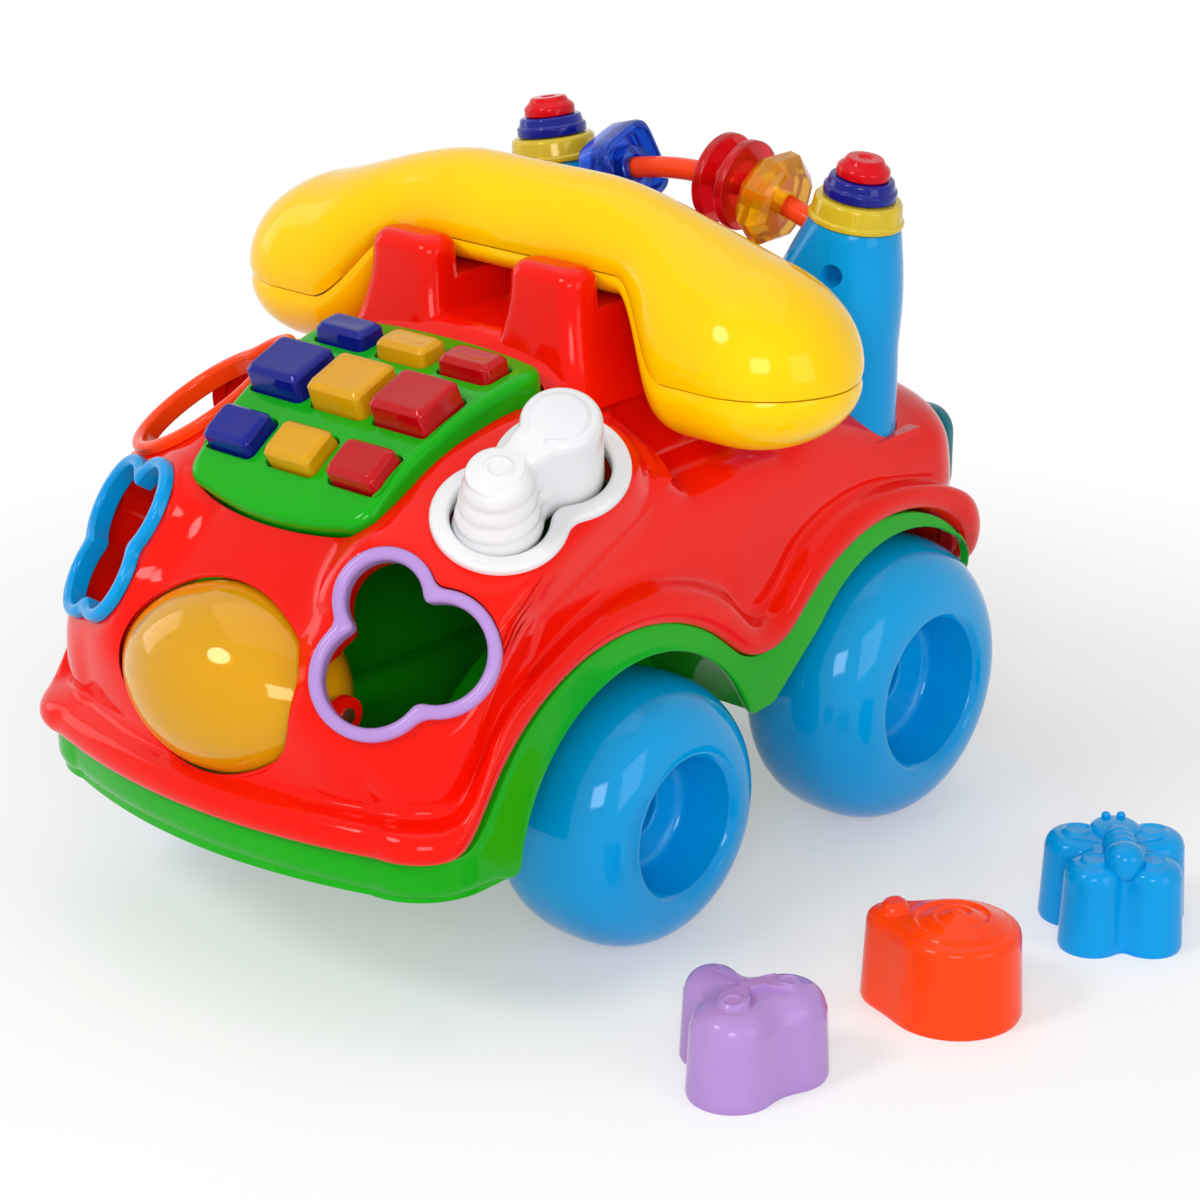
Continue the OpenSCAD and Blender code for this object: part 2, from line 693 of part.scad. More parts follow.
module hatch_lug() {
    translate([hatch_half + lug_gap, rear_y - 9, hinge_z - barrel_d / 2])
        cube([lug_t, hinge_y - rear_y + 9, barrel_d]);
    translate([0, hinge_y, hinge_z]) bar_x(barrel_d / 2, hatch_half + lug_gap, hatch_half + lug_gap + lug_t);
}

chassis_out = 4;
well_in = wheel_in - 3;
function well_r(at_front) = at_front ? arch_front_z - flange_h - axle_z_front
    : arch_rear_z - flange_h - axle_z_rear;
module plan(o) {
    polygon([for (i = [0:RING - 1]) outline(i, 80, o)]);
}
module under_lip(drop) {
    ys = [for (i = [0:60]) mix(front_y(80) - 20, rear_y + 20, i / 60)];
    polygon(concat([for (y = ys) [y, lip_z(y) - drop]], [[rear_y + 20, 20], [front_y(80) - 20, 20]]));
}
module wells(x0, grow) {
    both_sides() {
        translate([0, front_axle, axle_z_front]) bar_x(well_r(true) + grow, x0, 130);
        translate([0, rear_axle, axle_z_rear]) bar_x(well_r(false) + grow, x0, 130);
    }
}
// Upright walls of the wheel wells below the bin floor.
module well_feet(x0, grow) {
    both_sides() for (w = [[front_axle, well_r(true)], [rear_axle, well_r(false)]])
        translate([x0, w[0] - w[1] - grow, 0]) cube([130, 2 * (w[1] + grow), floor_z]);
}
module lower_chassis() {
    bearing_w = 8;
    color("limegreen") difference() {
        union() {
            difference() {
                intersection() {
                    translate([0, 0, skirt_z]) linear_extrude(100) plan(chassis_out);
                    side_view(-130, 130) under_lip(lip_gap);
                }
                wells(well_in, 0);
                both_sides() translate([well_in, front_axle, skirt_z - 1])
                    cube([100, rear_axle - front_axle, tip_z - skirt_z + 1]);
                difference() {
                    translate([0, 0, floor_z]) linear_extrude(100) plan(chassis_out - chassis_t - wall);
                    wells(well_in - chassis_t, chassis_t);
                }
                difference() {
                    translate([0, 0, skirt_z - 1]) linear_extrude(floor_z - chassis_t - skirt_z + 1)
                        plan(chassis_out - chassis_t);
                    well_feet(well_in - chassis_t, chassis_t);
                }
            }
            both_sides() difference() {
                intersection() {
                    translate([0, 0, tip_z]) linear_extrude(chassis_t) plan(chassis_out);
                    translate([well_in, front_axle, 0]) cube([100, rear_axle - front_axle, 200]);
                }
                wells(well_in - 1, 0);
            }
            both_sides() for (w = [[front_axle, axle_z_front], [rear_axle, axle_z_rear]])
                translate([well_in - chassis_t - bearing_w, w[0] - 9, w[1] - axle_d / 2 - 4])
                    cube([bearing_w + chassis_t, 18, floor_z - chassis_t / 2 - w[1] + axle_d / 2 + 4]);
            both_sides() for (b = BOLTS) translate([b[0], b[1], bolt_foot(b)])
                cylinder(h = lip_z(b[1]) - 1 - bolt_foot(b), d = boss_d);
        }
        for (w = [[front_axle, axle_z_front], [rear_axle, axle_z_rear]])
            translate([0, w[0], w[1]]) bar_x(axle_d / 2 + run_gap, -130, 130);
        both_sides() for (b = BOLTS) {
            translate([b[0], b[1], 30]) cylinder(h = 100, d = bolt_d + 2 * seat);
            translate([b[0], b[1], bolt_foot(b) - 1]) cylinder(h = 1 + head_in, d = head_d + 1);
        }
    }
}
module chassis_screws() {
    color("silver") both_sides() for (b = BOLTS) {
        z = bolt_foot(b) + head_in;
        translate([b[0], b[1], z - head_h]) cylinder(h = head_h, d = head_d);
        translate([b[0], b[1], z - 0.1]) cylinder(h = lip_z(b[1]) + boss_h - 5 - z, d = bolt_d - 2 * seat);
    }
}
module keypad_panel() {
    color("limegreen") difference() {
        union() {
            intersection() {
                hood_layer(hood_r + fit, panel_r, 60);
                panel_prism(0, hood_r - 40, panel_r + 10);
            }
            studs(plate_r + plate_t, hood_r + 1, stud_d);
        }
        for (r = [0:2], c = COLUMNS) at_key(r, c) translate([0, 0, -20]) linear_extrude(40)
            round_box(ROWS[r][1] + 2 * key_gap, ROWS[r][2] + 2 * key_gap, 2.5 + key_gap);
        studs(plate_r - 1, hood_r - 1, 2);
    }
}
module key_return_plate() {
    color("gainsboro") difference() {
        intersection() {
            hood_layer(plate_r, plate_r + plate_t, 60);
            panel_prism(-plate_in, hood_r - 60, panel_r + 10);
        }
        studs(plate_r - 10, hood_r, 2 + 2 * seat);
    }
}
module keypad_screws() {
    color("silver") {
        studs(plate_r - 1.7, plate_r - fit, 4.4);
        studs(plate_r - fit - 0.1, hood_r - 2, 2 - seat);
    }
}
module nose_roller() {
    color("orange") translate([0, roller_y, roller_z]) difference() {
        union() {
            difference() {
                roller_form(0);
                roller_form(-2.5);
            }
            bar_x(6, -roller_half + 1, roller_half - 1);
        }
        bar_x(pin_d / 2 + run_gap, -roller_half - 5, roller_half + 5);
    }
}
module roller_pin() {
    color("silver") translate([0, roller_y, roller_z])
        bar_x(pin_d / 2, -pin_half, pin_half);
}
module on_floor(x, y, turn) {
    translate([x, y, 0]) rotate([0, 0, turn]) children();
}
white_sunk = 3;

module handset_upper() {
    color("gold") difference() {
        handset_half(true);
        grip_bolts(bolt_d, bolt_d, 34);
    }
}
module handset_lower() {
    color("gold") difference() {
        handset_half(false);
        grip_bolts(bolt_d + 2 * seat, 7, 34);
    }
}
module handset_screws() {
    color("silver") for (x = [-1, 1]) translate([x * grip_bolt_x, -handset_y, end_low_z + 7]) {
        translate([0, 0, -2]) cylinder(h = 2, d = 6);
        translate([0, 0, -0.1]) cylinder(h = 24, d = bolt_d - seat);
    }
}
module post_left() {
    color("deepskyblue") post();
}
module post_right() {
    color("deepskyblue") mirror([1, 0, 0]) post();
}
module post_screws() {
    color("silver") both_sides() translate([post_bolt_x, post_y, foot_low - 3 - 2 * seat]) {
        translate([0, 0, -2]) cylinder(h = 2, d = 6);
        translate([0, 0, -0.1]) cylinder(h = 14, d = bolt_d - 2 * seat);
    }
}
module post_collars() {
    color("yellow") stack_ring(seat, collar_h, post_top_d + 1, post_top_d - 2);
}
module post_rings() {
    color("navy") stack_ring(collar_h + 2 * seat, ring_h, 26, 23);
}
module post_caps() {
    color("crimson") both_sides() post_axis(collar_h + ring_h + 3 * seat) difference() {
        union() {
            cylinder(h = cap_h - 2, d = 19);
            cylinder(h = cap_h, d = 14);
        }
        translate([0, 0, -1]) cylinder(h = cap_h - 2, d = peg_d + 2 * seat);
    }
}
module bead_rail() {
    color("orangered") rail_arc(rail_d, rail_end_x - 0.5);
}
module bead_square() {
    color("navy") on_rail(BEAD_AT[0]) difference() {
        union() {
            difference() {
                rotate([0, 90, 0]) linear_extrude(2 * bead_half, center = true) rotate(18)
                    round_box(1.8 * bead_r, 1.8 * bead_r, bead_r / 2);
                for (x = [-1, 1]) translate([x * (bead_half + 2), 0, 0]) rotate([0, 90, 0])
                    linear_extrude(bead_half, center = true) rotate(18)
                        round_box(1.35 * bead_r, 1.35 * bead_r, bead_r / 3);
            }
            bar_x(rail_d / 2 + 3, -bead_half, bead_half);
        }
        bead_bore();
    }
}
module bead_spool() {
    color("red") on_rail(BEAD_AT[1]) difference() {
        union() {
            bar_x(rail_d / 2 + 4, -bead_half, bead_half);
            bar_x(bead_r, -bead_half, -bead_half / 2);
            bar_x(bead_r, bead_half / 2, bead_half);
        }
        bead_bore();
    }
}
module bead_octagon() {
    color("orange") on_rail(BEAD_AT[2]) difference() {
        translate([-bead_half, 0, 0]) rotate([0, 90, 0]) rotate(22.5)
            cylinder(h = 2 * bead_half, r = bead_r + 1, $fn = 8);
        bead_bore();
    }
}
module rear_hatch() {
    color("teal") difference() {
        union() {
            translate([0, hatch_y, hatch_z + hatch_h / 2]) rotate([-90, 0, 0]) linear_extrude(hatch_t)
                round_box(2 * hatch_half, hatch_h, 10);
            translate([0, hinge_y, hinge_z]) bar_x(barrel_d / 2, -hatch_half + 12, hatch_half - 12);
        }
        translate([0, hinge_y, hinge_z]) bar_x(hinge_d / 2 + run_gap, -hatch_half - 5, hatch_half + 5);
    }
}
module hatch_pin() {
    x = hatch_half + lug_gap + lug_t;
    color("silver") translate([0, hinge_y, hinge_z]) bar_x(hinge_d / 2, -x, x);
}

upper_body();
lower_chassis();
chassis_screws();
keypad_panel();
key_return_plate();
keypad_screws();
color("navy") key(0, -1);  // key_top_left
color("orange") key(0, 0);  // key_top_mid
color("darkred") key(0, 1);  // key_top_right
color("navy") key(1, -1);  // key_mid_left
color("orange") key(1, 0);  // key_mid_mid
color("darkred") key(1, 1);  // key_mid_right
color("navy") key(2, -1);  // key_low_left
color("orange") key(2, 0);  // key_low_mid
color("darkred") key(2, 1);  // key_low_right
nose_roller();
roller_pin();
color("deepskyblue") frame(BLUE);  // frame_blue
color("plum") frame(LILAC);  // frame_lilac
color("white") frame(WHITE);  // frame_white
color("orangered") frame(ORANGE);  // frame_orange
color("deepskyblue") on_floor(205, 36, 40) block(BLUE);  // block_blue
color("plum") on_floor(174, -127, 40) block(LILAC);  // block_lilac
color("orangered") on_floor(196, -50, 40) block(ORANGE);  // block_orange
color("white") at_hole(WHITE) translate([0, fit - hole_gap, -white_sunk]) block(WHITE);  // block_white
handset_upper();
handset_lower();
handset_screws();
post_left();
post_right();
post_screws();
post_collars();
post_rings();
post_caps();
bead_rail();
bead_square();
bead_spool();
bead_octagon();
color("silver") axle_at(front_axle, axle_z_front);  // front_axle_rod
color("dodgerblue") wheel_at(1, front_axle, wheel_r_front);  // front_wheel_left
color("dodgerblue") wheel_at(-1, front_axle, wheel_r_front);  // front_wheel_right
color("silver") axle_at(rear_axle, axle_z_rear);  // rear_axle_rod
color("dodgerblue") wheel_at(1, rear_axle, wheel_r_rear);  // rear_wheel_left
color("dodgerblue") wheel_at(-1, rear_axle, wheel_r_rear);  // rear_wheel_right
rear_hatch();
hatch_pin();
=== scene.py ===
# %% [markdown]
# # A toy telephone on wheels
# The toy is a moulded red car shell on a green chassis. It carries a lift-off yellow handset, nine clear
# keys, a lemon-shaped roller, four posting holes with their blocks, and three beads on a rail.
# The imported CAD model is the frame: each piece below is made where its CAD node is, only finer.

# %% Load the frame
import math

import bmesh
import bpy
import numpy as np
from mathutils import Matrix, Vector, geometry


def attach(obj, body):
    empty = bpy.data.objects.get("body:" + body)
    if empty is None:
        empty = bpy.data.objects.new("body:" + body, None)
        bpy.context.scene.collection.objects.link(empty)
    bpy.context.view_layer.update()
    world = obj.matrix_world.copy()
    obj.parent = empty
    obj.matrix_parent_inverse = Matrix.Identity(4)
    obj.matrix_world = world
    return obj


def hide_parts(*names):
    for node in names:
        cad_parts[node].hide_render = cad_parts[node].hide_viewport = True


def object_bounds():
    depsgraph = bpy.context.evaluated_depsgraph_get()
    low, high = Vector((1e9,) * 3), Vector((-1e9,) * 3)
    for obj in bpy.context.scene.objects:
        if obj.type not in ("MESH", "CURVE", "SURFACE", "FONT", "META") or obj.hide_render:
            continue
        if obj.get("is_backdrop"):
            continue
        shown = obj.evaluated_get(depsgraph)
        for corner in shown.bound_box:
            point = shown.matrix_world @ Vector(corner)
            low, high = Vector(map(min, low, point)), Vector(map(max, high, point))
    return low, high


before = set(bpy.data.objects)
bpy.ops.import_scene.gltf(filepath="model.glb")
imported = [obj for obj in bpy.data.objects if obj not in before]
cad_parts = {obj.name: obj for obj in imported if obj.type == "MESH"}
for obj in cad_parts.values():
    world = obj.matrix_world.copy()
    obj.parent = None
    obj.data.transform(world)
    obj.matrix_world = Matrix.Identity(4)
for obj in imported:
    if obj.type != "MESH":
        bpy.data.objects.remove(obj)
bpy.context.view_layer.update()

# %% [markdown]
# ## Camera
# The photograph looks at the nose and the left side from a little above. A long lens keeps the wheels
# round and the posts upright. The camera is placed by two angles, a distance and the point it looks at.

# %% Camera
AIM = Vector((0.0025, 0.0, 0.080))
AZIMUTH, ELEVATION, DISTANCE = math.radians(41), math.radians(21), 1.222
SENSOR_MM, LENS_MM = 36, 100.8
back = Vector((
    math.sin(AZIMUTH) * math.cos(ELEVATION),
    -math.cos(AZIMUTH) * math.cos(ELEVATION),
    math.sin(ELEVATION),
))
camera = bpy.data.objects.new("camera", bpy.data.cameras.new("camera"))
bpy.context.scene.collection.objects.link(camera)
camera.data.sensor_width, camera.data.lens = SENSOR_MM, LENS_MM
camera.location = AIM + back * DISTANCE
camera.rotation_euler = (-back).to_track_quat("-Z", "Y").to_euler()
bpy.context.scene.camera = camera
bpy.context.scene.view_settings.view_transform = "Standard"
print("camera at", [round(c, 3) for c in camera.location])

# %% [markdown]
# ## Studio
# The product stands on a white sweep under soft lamps. A dish at the front left gives the crisp highlights,
# a wide box overhead gives the soft shadow, boxes at the front, right and left shape the sides, and the
# world fills the rest. The world is white for rays that the camera, gloss or clear plastic sends out, and
# dimmer as a lamp, so that it doesn't flood.


# %% Soft boxes
LAMP_AIM = Vector((0, 0, 0.1))


def soft_box(name, place, size, watts, shape="RECTANGLE"):
    lamp = bpy.data.lights.new(name, "AREA")
    lamp.shape = shape
    lamp.size, lamp.size_y = size
    lamp.energy = watts
    box = bpy.data.objects.new(name, lamp)
    bpy.context.scene.collection.objects.link(box)
    box.location = place
    box.rotation_euler = (LAMP_AIM - box.location).to_track_quat("-Z", "Y").to_euler()


soft_box("key_dish", (-0.18, -1.18, 1.15), (0.45, 0.45), 8.0, "DISK")
soft_box("front_box", (0.86, -0.98, 0.58), (0.45, 0.4), 5.5)
soft_box("overhead_box", (-0.1, 0.1, 1.5), (1.4, 1.4), 4.5)
soft_box("right_box", (1.5, -0.1, 0.5), (0.7, 0.8), 4.5)
soft_box("left_box", (-1.3, -0.4, 0.6), (0.5, 0.8), 2.0)


# %% World
def spread(tree, value, low, high, to_low, to_high):
    """Maps a range of values to another."""
    node = tree.nodes.new("ShaderNodeMapRange")
    for label, number in zip(("From Min", "From Max", "To Min", "To Max"), (low, high, to_low, to_high)):
        node.inputs[label].default_value = number
    tree.links.new(value, node.inputs["Value"])
    return node.outputs["Result"]


def two_way(tree, operation, a, b):
    """A Math node on two values."""
    node = tree.nodes.new("ShaderNodeMath")
    node.operation = operation
    tree.links.new(a, node.inputs[0])
    tree.links.new(b, node.inputs[1])
    return node.outputs[0]


def seen_rays(tree):
    """1 for the rays that the camera, gloss or clear plastic sends out, and otherwise 0."""
    rays = tree.nodes.new("ShaderNodeLightPath").outputs
    mirrored = two_way(tree, "MAXIMUM", rays["Is Camera Ray"], rays["Is Glossy Ray"])
    return two_way(tree, "MAXIMUM", mirrored, rays["Is Transmission Ray"])


FILL = 0.34
world = bpy.data.worlds.new("studio")
bpy.context.scene.world = world
world.use_nodes = True
tree = world.node_tree
tree.nodes.clear()
sky = tree.nodes.new("ShaderNodeBackground")
sky.inputs["Color"].default_value = (1, 1, 1, 1)
out = tree.nodes.new("ShaderNodeOutputWorld")
tree.links.new(spread(tree, seen_rays(tree), 0, 1, FILL, 1), sky.inputs["Strength"])
tree.links.new(sky.outputs[0], out.inputs["Surface"])
print("world gives", FILL, "of white as a lamp")

# %% [markdown]
# ## Finishes
# Almost every piece is glossy injection-moulded plastic. Real mouldings are never one flat colour: the
# tone drifts with the wall, the gloss is a little uneven, and the surface has a very faint orange peel.
# One shader group gives all three, and each plastic places it with its own colours.


# %% Shader group for moulded plastic
def group_with(name, inputs, outputs):
    group = bpy.data.node_groups.new(name, "ShaderNodeTree")
    for label, kind, value in inputs:
        socket = group.interface.new_socket(label, in_out="INPUT", socket_type=kind)
        socket.default_value = value
    for label, kind in outputs:
        group.interface.new_socket(label, in_out="OUTPUT", socket_type=kind)
    return group, group.nodes.new("NodeGroupInput"), group.nodes.new("NodeGroupOutput")


def noise(group, place, scale, detail):
    node = group.nodes.new("ShaderNodeTexNoise")
    node.inputs["Scale"].default_value = scale
    node.inputs["Detail"].default_value = detail
    group.links.new(place, node.inputs["Vector"])
    return node.outputs["Fac"]


COLOUR, VALUE = "NodeSocketColor", "NodeSocketFloat"
moulded, given, made = group_with(
    "moulded_plastic",
    [("Colour", COLOUR, (1, 1, 1, 1)), ("Shade", COLOUR, (0.8, 0.8, 0.8, 1)), ("Roughness", VALUE, 0.2)],
    [("Colour", COLOUR), ("Roughness", VALUE), ("Height", VALUE)],
)
DRIFT, UNEVEN, PEEL = (11, 3), (70, 4), (420, 2)
where = moulded.nodes.new("ShaderNodeTexCoord").outputs["Object"]
drift = spread(moulded, noise(moulded, where, *DRIFT), 0.35, 0.7, 0, 1)
tone = moulded.nodes.new("ShaderNodeMix")
tone.data_type = "RGBA"
moulded.links.new(drift, tone.inputs["Factor"])
moulded.links.new(given.outputs["Colour"], tone.inputs["A"])
moulded.links.new(given.outputs["Shade"], tone.inputs["B"])
moulded.links.new(tone.outputs["Result"], made.inputs["Colour"])
uneven = spread(moulded, noise(moulded, where, *UNEVEN), 0.3, 0.75, -0.03, 0.05)
moulded.links.new(two_way(moulded, "ADD", given.outputs["Roughness"], uneven), made.inputs["Roughness"])
moulded.links.new(noise(moulded, where, *PEEL), made.inputs["Height"])
print("group:", moulded.name, [s.name for s in moulded.interface.items_tree])


# %% Plastic, clear plastic and steel
PEEL_DEPTH, PLASTIC_IOR, CLEAR_GLOSS = 0.0008, 1.49, 0.45


def linear(rgb):
    """The shader's colour for one written in steps of 0 to 255."""
    shares = [v / 255 for v in rgb]
    return (*(c / 12.92 if c <= 0.04045 else ((c + 0.055) / 1.055) ** 2.4 for c in shares), 1)


def plastic(name, rgb, shade, roughness=0.09, peel=0.03, clear=0.0, gloss=0.28):
    finish = bpy.data.materials.new(name)
    finish.use_nodes = True
    nodes, links = finish.node_tree.nodes, finish.node_tree.links
    shader = nodes["Principled BSDF"]
    skin = nodes.new("ShaderNodeGroup")
    skin.node_tree = moulded
    skin.inputs["Colour"].default_value = linear(rgb)
    skin.inputs["Shade"].default_value = linear(shade)
    skin.inputs["Roughness"].default_value = roughness
    bump = nodes.new("ShaderNodeBump")
    bump.inputs["Strength"].default_value = peel
    bump.inputs["Distance"].default_value = PEEL_DEPTH
    links.new(skin.outputs["Colour"], shader.inputs["Base Color"])
    links.new(skin.outputs["Roughness"], shader.inputs["Roughness"])
    links.new(skin.outputs["Height"], bump.inputs["Height"])
    links.new(bump.outputs["Normal"], shader.inputs["Normal"])
    shader.inputs["IOR"].default_value = PLASTIC_IOR
    shader.inputs["Specular IOR Level"].default_value = CLEAR_GLOSS if clear else gloss
    shader.inputs["Specular Tint"].default_value = [0.5 + 0.5 * c for c in linear(rgb)]
    shader.inputs["Transmission Weight"].default_value = clear
    return finish


# Colour, shade, roughness, peel, clearness and gloss of each finish.
PLASTICS = {
    "shell_red": ((240, 20, 2), (230, 14, 0)),
    "chassis_green": ((22, 172, 14), (14, 160, 10)),
    "keypad_green": ((22, 172, 14), (14, 162, 10)),
    "inner_grey": ((205, 205, 205), (190, 190, 190), 0.35),
    "sorter_blue": ((0, 156, 226), (0, 146, 216)),
    "sorter_lilac": ((178, 142, 206), (170, 134, 199)),
    "sorter_white": ((228, 228, 230), (220, 220, 224)),
    "sorter_orange": ((255, 72, 14), (250, 64, 10)),
    "handset_yellow": ((255, 208, 0), (252, 198, 0)),
    "post_blue": ((0, 156, 224), (0, 146, 215)),
    "cap_red": ((222, 10, 26), (208, 6, 22)),
    "rail_orange": ((255, 78, 30), (250, 70, 24)),
    "wheel_blue": ((0, 160, 226), (0, 150, 216), 0.06, 0.03, 0.0, 0.42),
    # The hatch's colour is the wheels' teal-blue made darker: painted shade, as the hatch stands in shade at
    # the rear.
    "hatch_teal": ((0, 120, 132), (0, 110, 124)),
    "clear_navy": ((24, 40, 175), (18, 32, 160), 0.06, 0.01, 0.45),
    "clear_amber": ((255, 198, 20), (255, 190, 12), 0.06, 0.01, 0.45),
    "clear_red": ((225, 10, 22), (212, 8, 18), 0.06, 0.01, 0.4),
    "clear_yellow": ((255, 228, 60), (250, 220, 50), 0.08, 0.01, 0.45),
    "roller_amber": ((255, 200, 12), (255, 192, 8), 0.04, 0.01, 0.5),
    "bead_blue": ((40, 96, 225), (30, 84, 215), 0.08, 0.01, 0.75),
    "bead_amber": ((255, 190, 20), (255, 182, 12), 0.08, 0.01, 0.7),
    "bead_red": ((240, 24, 34), (230, 18, 28), 0.08, 0.01, 0.65),
    "steel": ((200, 200, 204), (180, 180, 186), 0.28, 0.05),
}
FINISH = {name: plastic(name, *values) for name, values in PLASTICS.items()}
FINISH["steel"].node_tree.nodes["Principled BSDF"].inputs["Metallic"].default_value = 1.0
print("finishes:", len(FINISH))

# %% [markdown]
# ## Floor
# A plain pale sheet, large enough that its edge never shows. Near the toy it is an ordinary matt surface,
# so the shadow falls on it. Further out it fades to the white of the studio, for what the camera, gloss
# and clear plastic see.

# %% Floor
FLOOR_SIZE, FADE_FROM, FADE_TO, NEAR_WHITE = 12, 0.18, 0.44, 0.36
bpy.ops.mesh.primitive_plane_add(size=FLOOR_SIZE)
floor = bpy.context.object
floor.name = "floor"
sweep_finish = plastic("pale_sweep", (252, 252, 252), (250, 250, 250), 0.7, 0.0)
floor.data.materials.append(sweep_finish)
tree = sweep_finish.node_tree
away = tree.nodes.new("ShaderNodeVectorMath")
away.operation = "LENGTH"
tree.links.new(tree.nodes.new("ShaderNodeTexCoord").outputs["Object"], away.inputs[0])
fade = spread(tree, away.outputs["Value"], FADE_FROM, FADE_TO, NEAR_WHITE, 1)
share = two_way(tree, "MULTIPLY", fade, seen_rays(tree))
white = tree.nodes.new("ShaderNodeEmission")
blend = tree.nodes.new("ShaderNodeMixShader")
tree.links.new(share, blend.inputs["Fac"])
tree.links.new(tree.nodes["Principled BSDF"].outputs[0], blend.inputs[1])
tree.links.new(white.outputs[0], blend.inputs[2])
tree.links.new(blend.outputs[0], tree.nodes["Material Output"].inputs["Surface"])
floor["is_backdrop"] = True
print("floor at z =", floor.location.z)

# %% [markdown]
# ## Making meshes
# Most pieces are lofts: a stack of rings, each with the same number of points, skinned with quads. A turned
# piece is a loft whose rings run along its profile. Points are in millimetres until the mesh is made.


# %% Lofts, turnings and places
def skin(rings, wrap=False):
    """Points and faces over rings (rows, points, 3); wrap joins the last ring to the first."""
    rings = np.asarray(rings, float)
    rows, n = rings.shape[:2]
    faces = []
    for r in range(rows if wrap else rows - 1):
        a, b = r * n, (r + 1) % rows * n
        faces += [(a + i, a + (i + 1) % n, b + (i + 1) % n, b + i) for i in range(n)]
    if not wrap:
        faces += [tuple(range(n))[::-1], tuple(range((rows - 1) * n, rows * n))]
    return rings.reshape(-1, 3), faces


def level_ring(path, z):
    """A flat path (x, y) laid at height z."""
    return np.column_stack([path, np.full(len(path), z)])


def side_ring(path, x):
    """A flat path (y, z) stood up across X."""
    return np.column_stack([np.full(len(path), x), path])


def rear_ring(path, y):
    """A flat path (x, z) stood up across Y."""
    return np.column_stack([path[:, 0], np.full(len(path), y), path[:, 1]])


def prism(path, z0, z1):
    return skin([level_ring(path, z) for z in (z0, z1)])


def side_prism(path, span):
    return skin([side_ring(path, x) for x in span])


def move(x, y, z):
    m = np.eye(4)
    m[:3, 3] = x, y, z
    return m


def turn(axis, degrees):
    m = np.eye(4)
    a, b = [(1, 2), (2, 0), (0, 1)]["xyz".index(axis)]
    c, s = math.cos(math.radians(degrees)), math.sin(math.radians(degrees))
    m[a, a], m[b, b], m[a, b], m[b, a] = c, c, -s, s
    return m


def put(shape, place):
    points, faces = shape
    return np.asarray(points) @ place[:3, :3].T + place[:3, 3], faces


def lathe(profile, segments=96, wrap=True):
    """Turns (radius, height) points about Z."""
    t = np.linspace(0, 2 * np.pi, segments, endpoint=False)
    profile = np.asarray(profile, float)
    ring = np.stack([np.cos(t), np.sin(t), np.zeros_like(t)], 1)
    rings = profile[:, :1, None] * ring + profile[:, 1][:, None, None] * np.array([0, 0, 1.0])
    return skin(rings, wrap)


def soften(corners, steps=6, closed=True):
    """Rounds the corners (a, b, radius) of a flat path with exact arcs."""
    path, count = [], len(corners)
    for k, (a, b, radius) in enumerate(corners):
        here = np.array([a, b], float)
        if radius == 0 or (not closed and k in (0, count - 1)):
            path.append(here)
            continue
        to_last = np.array(corners[k - 1][:2], float) - here
        to_next = np.array(corners[(k + 1) % count][:2], float) - here
        d0, d1 = np.linalg.norm(to_last), np.linalg.norm(to_next)
        u, v = to_last / d0, to_next / d1
        half = 0.5 * math.acos(np.clip(u @ v, -1, 1))
        cut = min(radius / math.tan(half), 0.49 * d0, 0.49 * d1)
        weight = math.sin(half)
        for t in np.linspace(0, 1, steps + 1):
            w = np.array([(1 - t) ** 2, 2 * t * (1 - t) * weight, t * t])
            path.append((w[0] * (here + u * cut) + w[1] * here + w[2] * (here + v * cut)) / w.sum())
    return np.array(path)


def unit(vectors):
    return vectors / np.linalg.norm(vectors, axis=1)[:, None]


def inset(path, distance):
    """Moves a closed flat path, drawn anticlockwise, inwards."""
    ahead, behind = np.roll(path, -1, 0) - path, path - np.roll(path, 1, 0)
    along = unit(unit(ahead) + unit(behind))
    return path + distance * np.stack([-along[:, 1], along[:, 0]], 1)


def clamp(v):
    return np.clip(v, 0.0, 1.0)


def ease(t):
    c = clamp(t)
    return c * c * (3 - 2 * c)


def ramp(v, start, length):
    """0 up to start, 1 from start + length on, and smooth between."""
    return ease((v - start) / length)


def mix(a, b, t):
    return a + (b - a) * t


def on_side(side, a, b):
    """A stretch across X on the left (1) or the right (-1) side."""
    return sorted((side * a, side * b))


print("a turned test ring has", len(lathe([(5, 0), (6, 0), (6, 1)], 12)[0]), "points")


# %% Pieces and booleans
def object_of(name, shape, cavity=False):
    """A mesh object from millimetre points, with its faces turned outwards, or inwards for a cavity."""
    points, faces = shape
    mesh = bpy.data.meshes.new(name)
    mesh.from_pydata((np.asarray(points) * 0.001).tolist(), [], [tuple(f) for f in faces])
    work = bmesh.new()
    work.from_mesh(mesh)
    if (work.calc_volume(signed=True) < 0) != cavity:
        bmesh.ops.reverse_faces(work, faces=work.faces)
    work.to_mesh(mesh)
    work.free()
    thing = bpy.data.objects.new(name, mesh)
    bpy.context.scene.collection.objects.link(thing)
    return thing


def baked(thing):
    """Replaces an object's modifiers by their result."""
    result = bpy.data.meshes.new_from_object(thing.evaluated_get(bpy.context.evaluated_depsgraph_get()))
    thing.modifiers.clear()
    thing.data = result
    return thing


def combine(thing, other, how):
    """UNION, DIFFERENCE or INTERSECT with another shape, which is used up."""
    if not isinstance(other, bpy.types.Object):
        other = object_of("tool", other)
    step = thing.modifiers.new("cut", "BOOLEAN")
    step.operation, step.solver, step.object = how, "MANIFOLD", other
    before = len(thing.data.polygons)
    baked(thing)
    if len(thing.data.polygons) == 0:
        raise RuntimeError(f"{thing.name}: {how} left nothing of {before} faces")
    bpy.data.objects.remove(other)
    return thing


